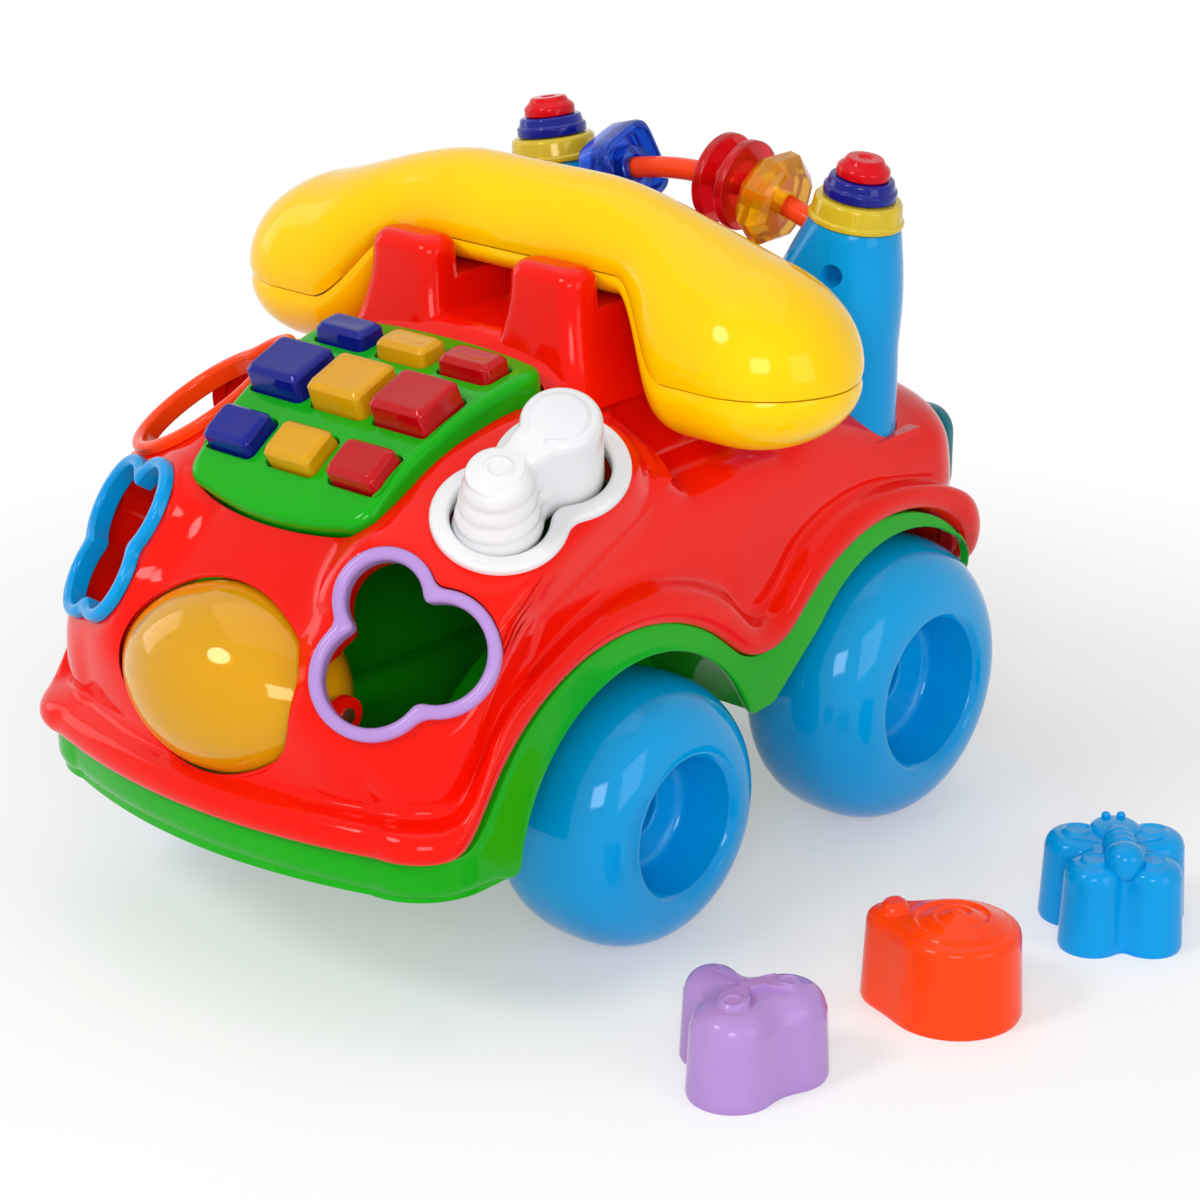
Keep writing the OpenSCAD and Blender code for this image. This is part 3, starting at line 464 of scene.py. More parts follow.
def finished(thing, finish, body, nodes=(), sharp=32, look=None):
    """Shades a piece, gives it its finish and hangs it on its body in place of its CAD nodes."""
    thing.data.materials.clear()
    thing.data.materials.append(FINISH[look or finish])
    thing.data.shade_smooth()
    thing.data.set_sharp_from_angle(angle=math.radians(sharp))
    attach(thing, body)
    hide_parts(*nodes)
    triangles = sum(len(p.vertices) - 2 for p in thing.data.polygons)
    print(f"{thing.name}: {triangles} triangles on {body}")
    return thing


def block_of(x0, x1, y0, y1, z0, z1):
    xs, ys, zs = (x0, x1), (y0, y1), (z0, z1)
    ring = [(0, 0), (1, 0), (1, 1), (0, 1)]
    return skin([[(xs[a], ys[b], z) for a, b in ring] for z in zs])


def joined(things, name):
    """One object from several that don't touch."""
    bpy.ops.object.select_all(action="DESELECT")
    for thing in things:
        thing.select_set(True)
    bpy.context.view_layer.objects.active = things[0]
    bpy.ops.object.join()
    things[0].name = name
    return things[0]


print("helpers ready")

# %% [markdown]
# ## Red shell
# The real shell is one hollow moulding. Seen from above, each height has a rounded outline with a bowed
# nose; seen from the side, the hood is a large arc and the lip climbs over the wheels. So the shell is a
# grid: one column for each point of the outline, one row for each height, with a rolled bead at the lip.

# %% Rules of the shell's surface
HALF_W, HOOD_R, HOOD_Z, HOOD_Y, REAR_Y = 91, 126, 65, -70, 112
ROOF_Z = HOOD_Z + HOOD_R
SHOULDER_Z, LIP_FRONT_Z, LIP_REAR_Z = ROOF_Z - 61, 66, 70
SIDE_LEAN, REAR_LEAN, REAR_ROUND = 2, 8, 20
NOSE_BOW, CORNER_R, CORNER_SOFT = 12, 22, 24
HANDSET_Y, END_LOW_Z = -28, 168
# Points along half the rear, a corner, a side and half the nose.
REAR, ARC, SIDE, BOW = 10, 14, 96, 16
HALF = REAR + 2 * ARC + SIDE + BOW
RING = 2 * HALF


def rise(z):
    return clamp((z - LIP_FRONT_Z) / (ROOF_Z - LIP_FRONT_Z))


def front_y(z):
    return HOOD_Y - np.sqrt(np.maximum(HOOD_R**2 - (z - HOOD_Z) ** 2, 0))


def rear_end(z):
    t = clamp((z - ROOF_Z + REAR_ROUND) / REAR_ROUND)
    return REAR_Y - REAR_LEAN * rise(z) - REAR_ROUND * (1 - np.sqrt(1 - t * t))


def half_w(z):
    t = clamp((z - SHOULDER_Z) / (ROOF_Z - SHOULDER_Z))
    return (HALF_W - SIDE_LEAN * rise(z)) * np.sqrt(np.maximum(1 - t**5, 0))


def bow(z):
    return NOSE_BOW * (1 - 0.7 * ramp(z, LIP_FRONT_Z, 70))


def nose_corner(z, w):
    return np.minimum(CORNER_R + CORNER_SOFT * rise(z), 0.8 * w)


def outline(z, o):
    """The outline from above at height z, moved out by o: rear first, left side, nose, right side."""
    i = np.arange(RING)
    k = np.minimum(i, RING - i)
    z, o = np.broadcast_to(z, np.broadcast(z, o, i).shape), np.asarray(o)
    w, f, r, b = half_w(z) + o, front_y(z) - o, rear_end(z) + o, bow(z)
    rr, rf = np.minimum(CORNER_R, 0.8 * w), nose_corner(z, w)
    j, s = k - REAR, k - REAR - ARC
    m, n = s - SIDE, s - SIDE - ARC
    quarter = np.pi / 2 / ARC
    flat_x, nose_x = (w - rr) * k / REAR, (w - rf) * (1 - n / BOW)
    part = [j <= 0, s <= 0, m <= 0, n <= 0]
    x = np.select(part, [
        flat_x, w - rr + rr * np.sin(j * quarter), w, w - rf + rf * np.cos(m * quarter),
    ], nose_x)
    y = np.select(part, [
        r + 0.04 * w * (1 - (k / REAR) ** 2), r - rr + rr * np.cos(j * quarter),
        mix(r - rr, f + b + rf, s / SIDE), f + b + rf - rf * np.sin(m * quarter),
    ], f + b * (nose_x / np.maximum(w - rf, 0.01)) ** 2)
    return np.where(i <= HALF, x, -x), y


print("half width at the lip and the roof:", half_w(LIP_FRONT_Z), half_w(ROOF_Z - 1).round(1))

# %% Line of the lip
# Middle along the body, height of the middle and radius of each arch.
FRONT_ARCH, REAR_ARCH = (-91, 43.5, 75.5), (47, 51, 70)
VALLEY_Z, VALLEY_Y0, VALLEY_Y1, CLIMB = 90, -90, 50, 30
LINE_Y0, LINE_Y1, BLUR = -260, 180, 12


def round_arch(y, at, z, r):
    return z + np.sqrt(np.maximum(r * r - (y - at) ** 2, 0))


line_y = np.linspace(LINE_Y0, LINE_Y1, 2 * (LINE_Y1 - LINE_Y0) + 1)
level = mix(LIP_FRONT_Z, VALLEY_Z, ramp(line_y, VALLEY_Y0, CLIMB))
level = mix(level, LIP_REAR_Z, ramp(line_y, VALLEY_Y1, CLIMB))
arches = np.maximum(round_arch(line_y, *FRONT_ARCH), round_arch(line_y, *REAR_ARCH))
line_z = np.maximum(level, arches)
bell = np.exp(-0.5 * (np.arange(-3 * BLUR, 3 * BLUR + 1) / BLUR) ** 2)
line_z[3 * BLUR:-3 * BLUR] = np.convolve(line_z, bell / bell.sum(), "valid")


def lip_z(y):
    """Height of the lip: a round arch over each wheel, with soft corners and a shallow valley between."""
    return np.interp(y, line_y, line_z)


def lip_ring(o):
    y = outline(lip_z(outline(VALLEY_Z, o)[1]), o)[1]
    x, y = outline(lip_z(y), o)
    return x, y, lip_z(y)


print("lip at the nose and over the wheels:", lip_z(-190).round(1), lip_z(-76).round(1), lip_z(62).round(1))

# %% Mound, deck and scoops
MOUND_H, MOUND_MID, DECK_DROP, DECK_LOW_Z, SCOOP_D, SCOOP_SOFT = 8, -27, 30, 105, 16, 10
# Start and length of each slope, across (X), along (Y) and up (Z).
MOUND_X, MOUND_Y, MOUND_Z, DECK_Y = (36, 24), (36, 15), (150, 35), (-20, 105)
SCOOP_X, SCOOP_Y = (44, 22), (24, 18)


def sink(x, y, z):
    """Raises a mound under the cradle, and lowers the rear deck and the scoops of the handset's ends."""
    mound = (1 - ramp(np.abs(x), *MOUND_X)) * (1 - ramp(np.abs(y - MOUND_MID), *MOUND_Y))
    deck = DECK_DROP * ramp(y, *DECK_Y) * ramp(z, DECK_LOW_Z, ROOF_Z - DECK_LOW_Z)
    a = z + MOUND_H * mound * ramp(z, *MOUND_Z) - deck
    k = ramp(np.abs(x), *SCOOP_X) * (1 - ramp(np.abs(y - HANDSET_Y), *SCOOP_Y))
    d = a - END_LOW_Z + SCOOP_D
    return a - 0.36 * k * (d + np.sqrt(d * d + SCOOP_SOFT**2))


print("deck sinks at the rear by", round(ROOF_Z - sink(0.0, 100.0, ROOF_Z), 1), "mm")

# %% [markdown]
# ## Outlines of the posting holes
# Each hole is a cluster of round lobes, shared by the hole, its frame and its block. A smooth union of
# circles gives the outline: from the middle, a ray is walked inwards until it meets the cluster. The same
# ray directions serve every level, so the rings of a loft always match.

# %% Lobe outlines
LOBE_R, HOLE_GAP = 14.5, 1.5
# Width and height of each frame's rim.
RIMS = {"blue": (4.5, 4.2), "lilac": (4.5, 4.2), "white": (6.4, 3.0), "orange": (4.8, 4.0)}
# Middle and radius of each lobe, in lobe radii.
LOBES = {
    "blue": [(-0.88, 0.8, 0.86), (0.88, 0.8, 0.86), (-0.68, -0.84, 0.78), (0.68, -0.84, 0.78), (0, 0, 0.86)],
    "lilac": [(-0.72, 0.85, 0.75), (0.8, 0.15, 1), (-0.35, -0.8, 1), (0, 0, 0.8)],
    "white": [(-0.1, -0.98, 1), (0.1, 0.98, 1), (0, 0, 0.62)],
    "orange": [(0, -0.15, 1.55), (0.9, 1.15, 0.64)],
}
# Side, angle along the hood, distance across, radius from the hood's middle line and tilt of each hole.
HOLES = {
    "blue": (-1, 55, 67, 117, 26), "lilac": (1, 57, 67, 117, 26),
    "white": (1, 24, 74, 112, 22), "orange": (-1, 24, 75, 112, 22),
}


def lobe_away(x, y, a, b):
    """Distance from the middle of a lobe."""
    return np.hypot(x - a * LOBE_R, y - b * LOBE_R)


def lobe_distance(kind, x, y, soft=3.5):
    """Signed distance to the cluster, with its notches filled a little."""
    total = None
    for a, b, r in LOBES[kind]:
        d = lobe_away(x, y, a, b) - r * LOBE_R
        if total is None:
            total = d
        else:
            h = np.maximum(soft - np.abs(total - d), 0) / soft
            total = np.minimum(total, d) - h * h * soft / 4
    return total


def even_rays(kind, count):
    """Ray directions that spread the outline's points evenly."""
    t = np.linspace(0, 2 * np.pi, 1440, endpoint=False)
    path = lobe_path(kind, 0, t)
    steps = np.linalg.norm(np.roll(path, -1, 0) - path, axis=1)
    length = np.concatenate([[0], np.cumsum(steps)])
    return np.interp(np.linspace(0, length[-1], count, endpoint=False), length, np.append(t, 2 * np.pi))


def lobe_path(kind, grow, rays, soft=3.5):
    """The cluster's outline, grown, at the given ray directions."""
    reach = np.full(len(rays), 4.0 * LOBE_R)
    for _ in range(60):
        reach -= 0.85 * (lobe_distance(kind, reach * np.cos(rays), reach * np.sin(rays), soft) - grow)
    return np.column_stack([reach * np.cos(rays), reach * np.sin(rays)])


def hole_place(kind):
    side, angle, x, r, tilt = HOLES[kind]
    return move(side * x, HOOD_Y, HOOD_Z) @ turn("x", angle) @ move(0, 0, r) @ turn("y", side * tilt)


LOBE_POINTS = 200
RAYS = {kind: even_rays(kind, LOBE_POINTS) for kind in LOBES}


def hole_path(kind, grow, soft=3.5):
    return lobe_path(kind, grow, RAYS[kind], soft)


SEAT_ABOVE, SEAT_BELOW, SEAT_DEEP = 7, (9, 34), 18


def level_seats(points, deep):
    """Leads the shell's surface smoothly into the flat seat of each hole, or so much deeper."""
    for kind, (rim_w, _) in RIMS.items():
        place = hole_place(kind)
        back = np.linalg.inv(place)
        q = points @ back[:3, :3].T + back[:3, 3]
        d = lobe_distance(kind, q[:, 0], q[:, 1])
        outwards = ramp(0.6 * HOLES[kind][0] * q[:, 0] - q[:, 1], 0, 25)
        reach = np.where(q[:, 2] > -deep, SEAT_ABOVE, mix(*SEAT_BELOW, outwards))
        k = (1 - ease((d - HOLE_GAP - rim_w - 0.5) / reach)) * np.exp(-((q[:, 2] + deep) / SEAT_DEEP) ** 4)
        q[:, 2] = mix(q[:, 2], -0.1 - deep, k)
        points = q @ place[:3, :3].T + place[:3, 3]
    return points


print("holes:", {k: len(r) for k, r in RAYS.items()})

# %% Rows of the bead
# Share of the bead's reach and of its height, from the lip's edge to the wall above the bead.
BEAD_SHARES = [
    (0.05, 0.0), (0.55, 0.0), (0.88, 0.07), (1.04, 0.25), (1.06, 0.44), (0.98, 0.62), (0.8, 0.77),
    (0.5, 0.87), (0.2, 0.94), (0.0, 1.03), (-0.07, 1.2), (-0.03, 1.45), (0.0, 1.7),
]
BEAD_REACH, BEAD_H, BEAD_TOP, BEAD_ROWS = 7, 13, BEAD_SHARES[-1][1], 45


def through(values, at):
    """A smooth curve through evenly numbered values."""
    k = np.clip(at.astype(int), 0, len(values) - 2)
    t = at - k
    p = np.concatenate([[2 * values[0] - values[1]], values, [2 * values[-1] - values[-2]]])
    a, b, c, d = (p[k + i] for i in range(4))
    return b + 0.5 * t * (c - a + t * (2 * a - 5 * b + 4 * c - d + t * (3 * (b - c) + d - a)))


fine = np.linspace(0, len(BEAD_SHARES) - 1, BEAD_ROWS)
bead_rows = np.column_stack([through(np.array(v), fine) for v in zip(*BEAD_SHARES)])
lip_x, lip_y, lip_at = lip_ring(0)
flat_step = np.hypot(np.roll(lip_x, -1) - np.roll(lip_x, 1), np.roll(lip_y, -1) - np.roll(lip_y, 1))
slope = (np.roll(lip_at, -1) - np.roll(lip_at, 1)) / np.maximum(flat_step, 1e-6)
tall = BEAD_H * np.sqrt(1 + np.clip(slope, -1.6, 1.6) ** 2)
print("bead is", tall.min().round(1), "to", tall.max().round(1), "mm high")

# %% Shell skin
WALL, WALL_ROWS, INNER_ROWS, TOP_Z = 3, 64, 36, ROOF_Z - 0.05


def shell_row(z, o, share):
    """A ring of the shell; its share of the deck's sinking and of the holes' seats grows above the bead."""
    x, y = outline(z, o)
    row = np.column_stack([x, y, mix(z, sink(x, y, z), share)])
    return mix(row, level_seats(row, 0.0), ease((z - lip_at - 8) / 34)[:, None])


def wall_heights(rows, first):
    """Heights of the rows from the bead to the roof, closer together near the roof."""
    low = lip_at + BEAD_TOP * tall
    return [mix(low, TOP_Z, 1 - (1 - k / rows) ** 1.9) for k in range(first, rows + 1)]


outer = [np.column_stack([lip_x, lip_y, lip_at])]
for reach, height in bead_rows:
    outer.append(shell_row(lip_at + height * tall, reach * BEAD_REACH, clamp((height - 0.4) / 1.3)))
outer += [shell_row(z, 0.0, 1.0) for z in wall_heights(WALL_ROWS, 1)]
inner = [np.column_stack(lip_ring(-WALL))]
for z in wall_heights(INNER_ROWS, 0):
    x, y = outline(z, -WALL)
    inner.append(level_seats(np.column_stack([x, y, sink(x, y, z) - WALL * ramp(z, 120, 55)]), WALL))
rings = outer[::-1] + inner
points, faces = skin(rings)
# Strips across the roof close the outer and the inner wall, in place of the two large end faces.
faces = [f for f in faces if len(f) == 4]
for first, flip in ((0, 1), ((len(rings) - 1) * RING, 0)):
    for i in range(HALF):
        a, b, c, d = first + i, first + i + 1, first + RING - i - 1, first + (RING - i) % RING
        strip = list(dict.fromkeys((a, b, c, d)))
        faces.append(strip[::-1] if flip else strip)
shell = object_of("red_shell", (points, faces))
print("shell skin:", len(points), "points")

# %% [markdown]
# ## Cradle
# Two saddles on the roof carry the handset's grip. Each is a low block with a prong in front of the grip
# and one behind it. All three are stacks of rounded rectangles that flare into the roof and round over at
# the top.


# %% Cradle blocks
CRADLE_X, CRADLE_W, CRADLE_R, PRONG_TOP, GRIP_Z = 32, 31, 7.5, 224, 210
FOOT_Z, FLARE_Z, FLARE_LEN = 180, 219, 34
# Front, rear, top and rounding of the low block and its two prongs.
SADDLE = ((-66, 10, GRIP_Z - 0.2, 2), (-66, -48.6, PRONG_TOP, 6), (-7.4, 10, PRONG_TOP, 6))


def round_box(w, l, r, steps=6):
    return soften([(-w / 2, -l / 2, r), (w / 2, -l / 2, r), (w / 2, l / 2, r), (-w / 2, l / 2, r)], steps)


def saddle_block(y0, y1, top, edge):
    straight = np.linspace(FOOT_Z, top - edge, 22)
    rounded = top - edge + edge * np.sin(np.linspace(0.2, np.pi / 2, 8))
    rows = []
    for z in np.concatenate([straight, rounded]):
        flare = max((FLARE_Z - z) / FLARE_LEN, 0) ** 2
        away = edge - math.sqrt(max(edge * edge - max(z - top + edge, 0) ** 2, 0))
        w, l = CRADLE_W * (1 + 0.5 * flare) - 2 * away, y1 - y0 + 12 * flare - 2 * away
        path = round_box(w, l, max(CRADLE_R - 0.8 * away, 1.2))
        rows.append(level_ring(path + (0, (y0 + y1) / 2), z))
    return skin(rows)


for side in (-1, 1):
    for part in SADDLE:
        combine(shell, put(saddle_block(*part), move(side * CRADLE_X, 0, 0)), "UNION")
print("shell with cradle:", len(shell.data.polygons), "faces")

# %% [markdown]
# ## Posting holes
# Under each frame stands a low flared seat, which only shows where the hood falls away. Then the hole is
# cut through it, and anything above the seat is cleared.


# %% Seats and holes
def plan_solid(o, z0, z1, rows=60):
    """The shell's outline as a solid, moved out by o."""
    return skin([level_ring(np.column_stack(outline(z, o)), z) for z in np.linspace(z0, z1, rows)])


# Growth past the rim and height of the seat's rows.
SEAT_FLARE = [(16, -18), (9, -13), (5, -9), (2.4, -5.5), (0.9, -2.5), (0.3, -0.9), (-0.2, -0.1)]
COLLAR_W, COLLAR_GAP = 2, 0.3
shell_limit = plan_solid(1.5, 62, ROOF_Z + 6)
for kind, (rim_w, _) in RIMS.items():
    rings = [level_ring(hole_path(kind, HOLE_GAP + rim_w + grow), z) for grow, z in SEAT_FLARE]
    seat = object_of("seat", put(skin(rings), hole_place(kind)))
    combine(shell, combine(seat, shell_limit, "INTERSECT"), "UNION")
for kind, (rim_w, _) in RIMS.items():
    hole = hole_path(kind, HOLE_GAP + COLLAR_W + COLLAR_GAP)
    combine(shell, put(prism(hole, -26, 14), hole_place(kind)), "DIFFERENCE")
    over_seat = hole_path(kind, HOLE_GAP + rim_w + 0.4)
    combine(shell, put(prism(over_seat, -0.05, 30), hole_place(kind)), "DIFFERENCE")
print("shell with posting holes:", len(shell.data.polygons), "faces")

# %% [markdown]
# ## Openings of the shell
# The keypad, the roller, the two posts and the rear hatch each need an opening. They are cut with exact
# booleans, from the same forms that fill them, grown by their gap.

# %% Forms of the openings
ROLLER_R, ROLLER_HALF, ROLLER_TIP, ROLLER_GAP = 31.5, 45, 6, 1.6
ROLLER_Y, ROLLER_Z = -176.655, 103.819
POST_Y, POST_FOOT_X, FOOT_HALF, FOOT_R, SHELF_Z = 58, 57, 11, 18, 146
PANEL_R, PANEL_MID, PANEL_DOWN, PANEL_UP = 131, 23, 21, 20
PANEL_LOW_W, PANEL_TOP_W, PANEL_CORNER, PANEL_CROWN = 41, 49, 9, 4


def lemon_r(t, grow):
    """Radius of the roller at a share t of its half length."""
    return ROLLER_TIP + (ROLLER_R + grow - ROLLER_TIP) * np.maximum(1 - t * t, 0) ** 0.78


def lemon(grow, steps=40):
    """Profile (radius, length) of the roller."""
    t = np.sin(np.linspace(-np.pi / 2, np.pi / 2, steps))
    return np.column_stack([lemon_r(t, grow), t * (ROLLER_HALF + grow)])


def stadium(grow, arc=24, flat=6):
    """Outline of a post's foot: two half rounds joined by flats."""
    path, r = [], FOOT_R + grow
    for side, start in ((1, -90), (-1, 90)):
        for a in np.radians(np.linspace(start, start + 180, arc)):
            path.append((side * FOOT_HALF + r * math.cos(a), r * math.sin(a)))
        path += [(side * mix(FOOT_HALF, -FOOT_HALF, k / flat), side * r) for k in range(1, flat)]
    return np.array(path)


def panel_path(grow, steps=10):
    """Outline of the keypad laid flat: x across, y up the hood."""
    low = -PANEL_R * math.sin(math.radians(PANEL_DOWN)) - grow
    top = PANEL_R * math.sin(math.radians(PANEL_UP)) + grow
    a, b, r = PANEL_LOW_W + grow, PANEL_TOP_W + grow, PANEL_CORNER + grow
    corners = np.split(soften([(-a, low, r), (a, low, r), (b, top, r), (-b, top, r)], steps), 4)
    t = np.linspace(-1, 1, 17)[1:-1]
    crown = PANEL_CROWN * (1 - t**2)
    front, back = np.column_stack([t * (a - r), low - crown]), np.column_stack([-t * (b - r), top + crown])
    return np.concatenate([corners[0], front, *corners[1:3], back, corners[3]])


def rear_box(half, z0, z1, r, steps):
    """A rounded rectangle on the rear face, as (x, z) points."""
    return soften([(-half, z0, r), (half, z0, r), (half, z1, r), (-half, z1, r)], steps)


print("outlines of a post's foot and the keypad:", len(stadium(0)), "and", len(panel_path(0)), "points")

# %% Openings of the roller, keypad, posts and hatch
MOUTH_HALF, MOUTH_Z0, MOUTH_Z1, MOUTH_R = 66, 107, 135, 8
roller_place = move(0, ROLLER_Y, ROLLER_Z) @ turn("y", 90)
on_panel = move(0, HOOD_Y, HOOD_Z) @ turn("x", PANEL_MID)
combine(shell, put(lathe(lemon(ROLLER_GAP), 120, wrap=False), roller_place), "DIFFERENCE")
combine(shell, put(prism(panel_path(-1), PANEL_R - 45, PANEL_R + 25), on_panel), "DIFFERENCE")
for side in (-1, 1):
    foot = put(prism(stadium(0.3), SHELF_Z, SHELF_Z + 60), move(side * POST_FOOT_X, POST_Y, 0))
    combine(shell, foot, "DIFFERENCE")
mouth = rear_box(MOUTH_HALF, MOUTH_Z0, MOUTH_Z1, MOUTH_R, 6)
combine(shell, skin([rear_ring(mouth, y) for y in (REAR_Y - 20, REAR_Y + 12)]), "DIFFERENCE")
print("shell with openings:", len(shell.data.polygons), "faces")

# %% Hatch lugs, shelves and the roller's cheeks inside the shell
HINGE_Y, HINGE_Z, LUG_H, LUG_R, LUG_FOOT_Y = 119.7, 99.5, 4.5, 4.4, 103
LUG_X, LUG_EDGE, SHELF_X, SHELF_Y = (72.6, 77.6), 0.8, (28, 88), (40, 76)
CHEEK_R, CHEEK_X = 6.5, (47.6, 50.6)
arm = soften([
    (LUG_FOOT_Y, HINGE_Z - LUG_H, 1), (HINGE_Y, HINGE_Z - LUG_H, LUG_R), (HINGE_Y + LUG_R, HINGE_Z, LUG_R),
    (HINGE_Y, HINGE_Z + LUG_H, LUG_R), (LUG_FOOT_Y, HINGE_Z + LUG_H, 1),
], 6)
inside_shell = plan_solid(-1.2, 64, ROOF_Z)
for side in (-1, 1):
    x0, x1 = on_side(side, *LUG_X)
    lug = [(x0, LUG_EDGE), (x0, 0), (x1, 0), (x1, LUG_EDGE)]
    combine(shell, skin([side_ring(inset(arm, away), x) for x, away in lug]), "UNION")
    shelf = block_of(*on_side(side, *SHELF_X), *SHELF_Y, SHELF_Z - WALL - 0.1, SHELF_Z - 0.1)
    combine(shell, shelf, "UNION")
    cheek = put(lathe([(CHEEK_R, side * x) for x in CHEEK_X], 96, wrap=False), roller_place)
    combine(shell, combine(object_of("cheek", cheek), inside_shell, "INTERSECT"), "UNION")
finished(shell, "shell_red", "car", ["upper_body"], 30)

# %% [markdown]
# ## Rolled edge of the roller's opening
# The opening's edge is rolled, so that small fingers meet no sharp rim. The edge is where the grown lemon
# leaves the hood, found for each distance across. Geometry Nodes sweep a small round along that path.


# %% Geometry Nodes: a round bar along a path
def bar_tree(name):
    """Sweeps a circle along a mesh path; the radius is a named input."""
    group = bpy.data.node_groups.new(name, "GeometryNodeTree")
    group.interface.new_socket("Path", in_out="INPUT", socket_type="NodeSocketGeometry")
    radius = group.interface.new_socket("Radius", in_out="INPUT", socket_type="NodeSocketFloat")
    finish = group.interface.new_socket("Finish", in_out="INPUT", socket_type="NodeSocketMaterial")
    group.interface.new_socket("Bar", in_out="OUTPUT", socket_type="NodeSocketGeometry")
    into, result = group.nodes.new("NodeGroupInput"), group.nodes.new("NodeGroupOutput")
    steps = ("MeshToCurve", "CurvePrimitiveCircle", "CurveToMesh", "RealizeInstances", "SetMaterial")
    curve, circle, sweep, solid, paint = (group.nodes.new(f"GeometryNode{step}") for step in steps)
    circle.inputs["Resolution"].default_value = 20
    sweep.inputs["Fill Caps"].default_value = True
    links = group.links
    links.new(into.outputs["Path"], curve.inputs["Mesh"])
    links.new(into.outputs["Radius"], circle.inputs["Radius"])
    links.new(curve.outputs["Curve"], sweep.inputs["Curve"])
    links.new(circle.outputs["Curve"], sweep.inputs["Profile Curve"])
    links.new(sweep.outputs["Mesh"], solid.inputs["Geometry"])
    links.new(solid.outputs["Geometry"], paint.inputs["Geometry"])
    links.new(into.outputs["Finish"], paint.inputs["Material"])
    links.new(paint.outputs["Geometry"], result.inputs["Bar"])
    return group, radius.identifier, finish.identifier


ROUND_BAR, BAR_RADIUS, BAR_FINISH = bar_tree("round_bar")


def bar_along(name, path, radius, finish, closed=False):
    count = len(path)
    edges = [(i, i + 1) for i in range(count - 1)] + ([(count - 1, 0)] if closed else [])
    mesh = bpy.data.meshes.new(name)
    mesh.from_pydata((np.asarray(path) * 0.001).tolist(), edges, [])
    thing = bpy.data.objects.new(name, mesh)
    bpy.context.scene.collection.objects.link(thing)
    step = thing.modifiers.new("bar", "NODES")
    step.node_group = ROUND_BAR
    step[BAR_RADIUS] = radius * 0.001
    step[BAR_FINISH] = FINISH[finish]
    return baked(thing)


# %% Edge of the roller's opening
def hood_point(x, z):
    """How far forward the hood is at a distance across and a height."""
    flat = half_w(z) - nose_corner(z, half_w(z))
    return front_y(z) + bow(z) * (x / flat) ** 2


def roller_edge(x):
    """Heights at which the grown roller leaves the hood, low and high, at a distance across."""
    r = lemon_r(x / (ROLLER_HALF + ROLLER_GAP), ROLLER_GAP)
    z = np.linspace(ROLLER_Z - 40, ROLLER_Z + 40, 1600)
    inside = (hood_point(x, z) - ROLLER_Y) ** 2 + (z - ROLLER_Z) ** 2 < r * r
    return (z[inside].min(), z[inside].max()) if inside.any() else None


EDGE_IN, EDGE_R = 0.5, 0.8
across = np.sin(np.linspace(-np.pi / 2, np.pi / 2, 60)) * ROLLER_HALF
edges = [(x, *e) for x, e in ((x, roller_edge(x)) for x in across) if e]
around = [(x, z) for x, z, _ in edges] + [(x, z) for x, _, z in edges[::-1]]
loop = np.array([(x, hood_point(x, z) + EDGE_IN, z) for x, z in around])
rolled = bar_along("roller_opening_edge", loop, EDGE_R, "shell_red", closed=True)
finished(rolled, "shell_red", "car", (), 60)

# %% [markdown]
# ## Frames of the posting holes
# Each hole has a coloured frame: a round, soft rim that stands on the shell, and a collar that goes down
# through it. It is one closed loft of lobe outlines: up the outside of the rim, over, and down the inside.


# %% Frames
COLLAR_LOW, RIM_LOW = -3.2, -0.05


def frame_loft(kind, rim_w, rim_h):
    r = min(0.47 * rim_w, 0.6 * rim_h)
    bore, collar, rim = HOLE_GAP, HOLE_GAP + COLLAR_W, HOLE_GAP + rim_w
    profile = soften([
        (bore, COLLAR_LOW, 0.5), (collar, COLLAR_LOW, 0.5), (collar, RIM_LOW, 0), (rim, RIM_LOW, 0.5),
        (rim, rim_h, r), (bore, rim_h, r),
    ], 8)
    return skin([level_ring(hole_path(kind, grow), height) for grow, height in profile], wrap=True)


for kind, rim in RIMS.items():
    made_frame = object_of(f"sorter_frame_{kind}", put(frame_loft(kind, *rim), hole_place(kind)))
    finished(made_frame, f"sorter_{kind}", "car", [f"frame_{kind}"], 50)

# %% [markdown]
# ## Blocks of the sorter
# The four blocks are simple animals: a butterfly, a beetle, a caterpillar and a snail. Each has
# straight drafted sides, a rounded shoulder and a crowned top. The top is a polar grid, so that ridges,
# spirals and spots can be raised on it as real geometry by one height rule for each animal.

# %% Heights of the blocks' tops
BLOCK_H, DRAFT = 31, 1.5
# Height of the rounded shoulder, and how softly the lobes run together.
SHOULDERS = {"blue": (4.5, 4.5), "lilac": (7.5, 9.0), "white": (3.0, 3.5), "orange": (3.0, 13.0)}


def ridge(distance, width):
    return np.exp(-((distance / width) ** 2))


def dome(distance, radius):
    return clamp(1 - (distance / radius) ** 2)


def butterfly_top(x, y):
    h = 0 * x
    for a, b, r in LOBES["blue"][:4]:
        d = lobe_away(x, y, a, b)
        h += 0.8 * ridge(d - 4.2, 0.7) + 0.9 * dome(d, r * LOBE_R)
    return h


def beetle_top(x, y):
    h = 2.2 * dome(np.hypot(x, y), 26)
    seam = np.abs(0.42 * x - 0.9 * y + 2.0)
    h -= 0.7 * ridge(seam, 0.7) * (x > -6)
    for a, b in ((0.9, 0.1), (-0.35, -0.85), (0.35, 0.5), (0.25, -0.75)):
        h += 0.55 * ridge(lobe_away(x, y, a, b) - 3.2, 0.6)
    for a, b in ((-0.95, 1.0), (-0.5, 1.15)):
        h += 1.3 * ridge(lobe_away(x, y, a, b), 1.6)
    return h


def caterpillar_top(x, y):
    front, rear = lobe_away(x, y, -0.1, -0.98), lobe_away(x, y, 0.1, 0.98)
    return 1.6 * dome(rear, 15) + 0.7 * ridge(front - 5, 1.0) + 1.2 * dome(front, 15)


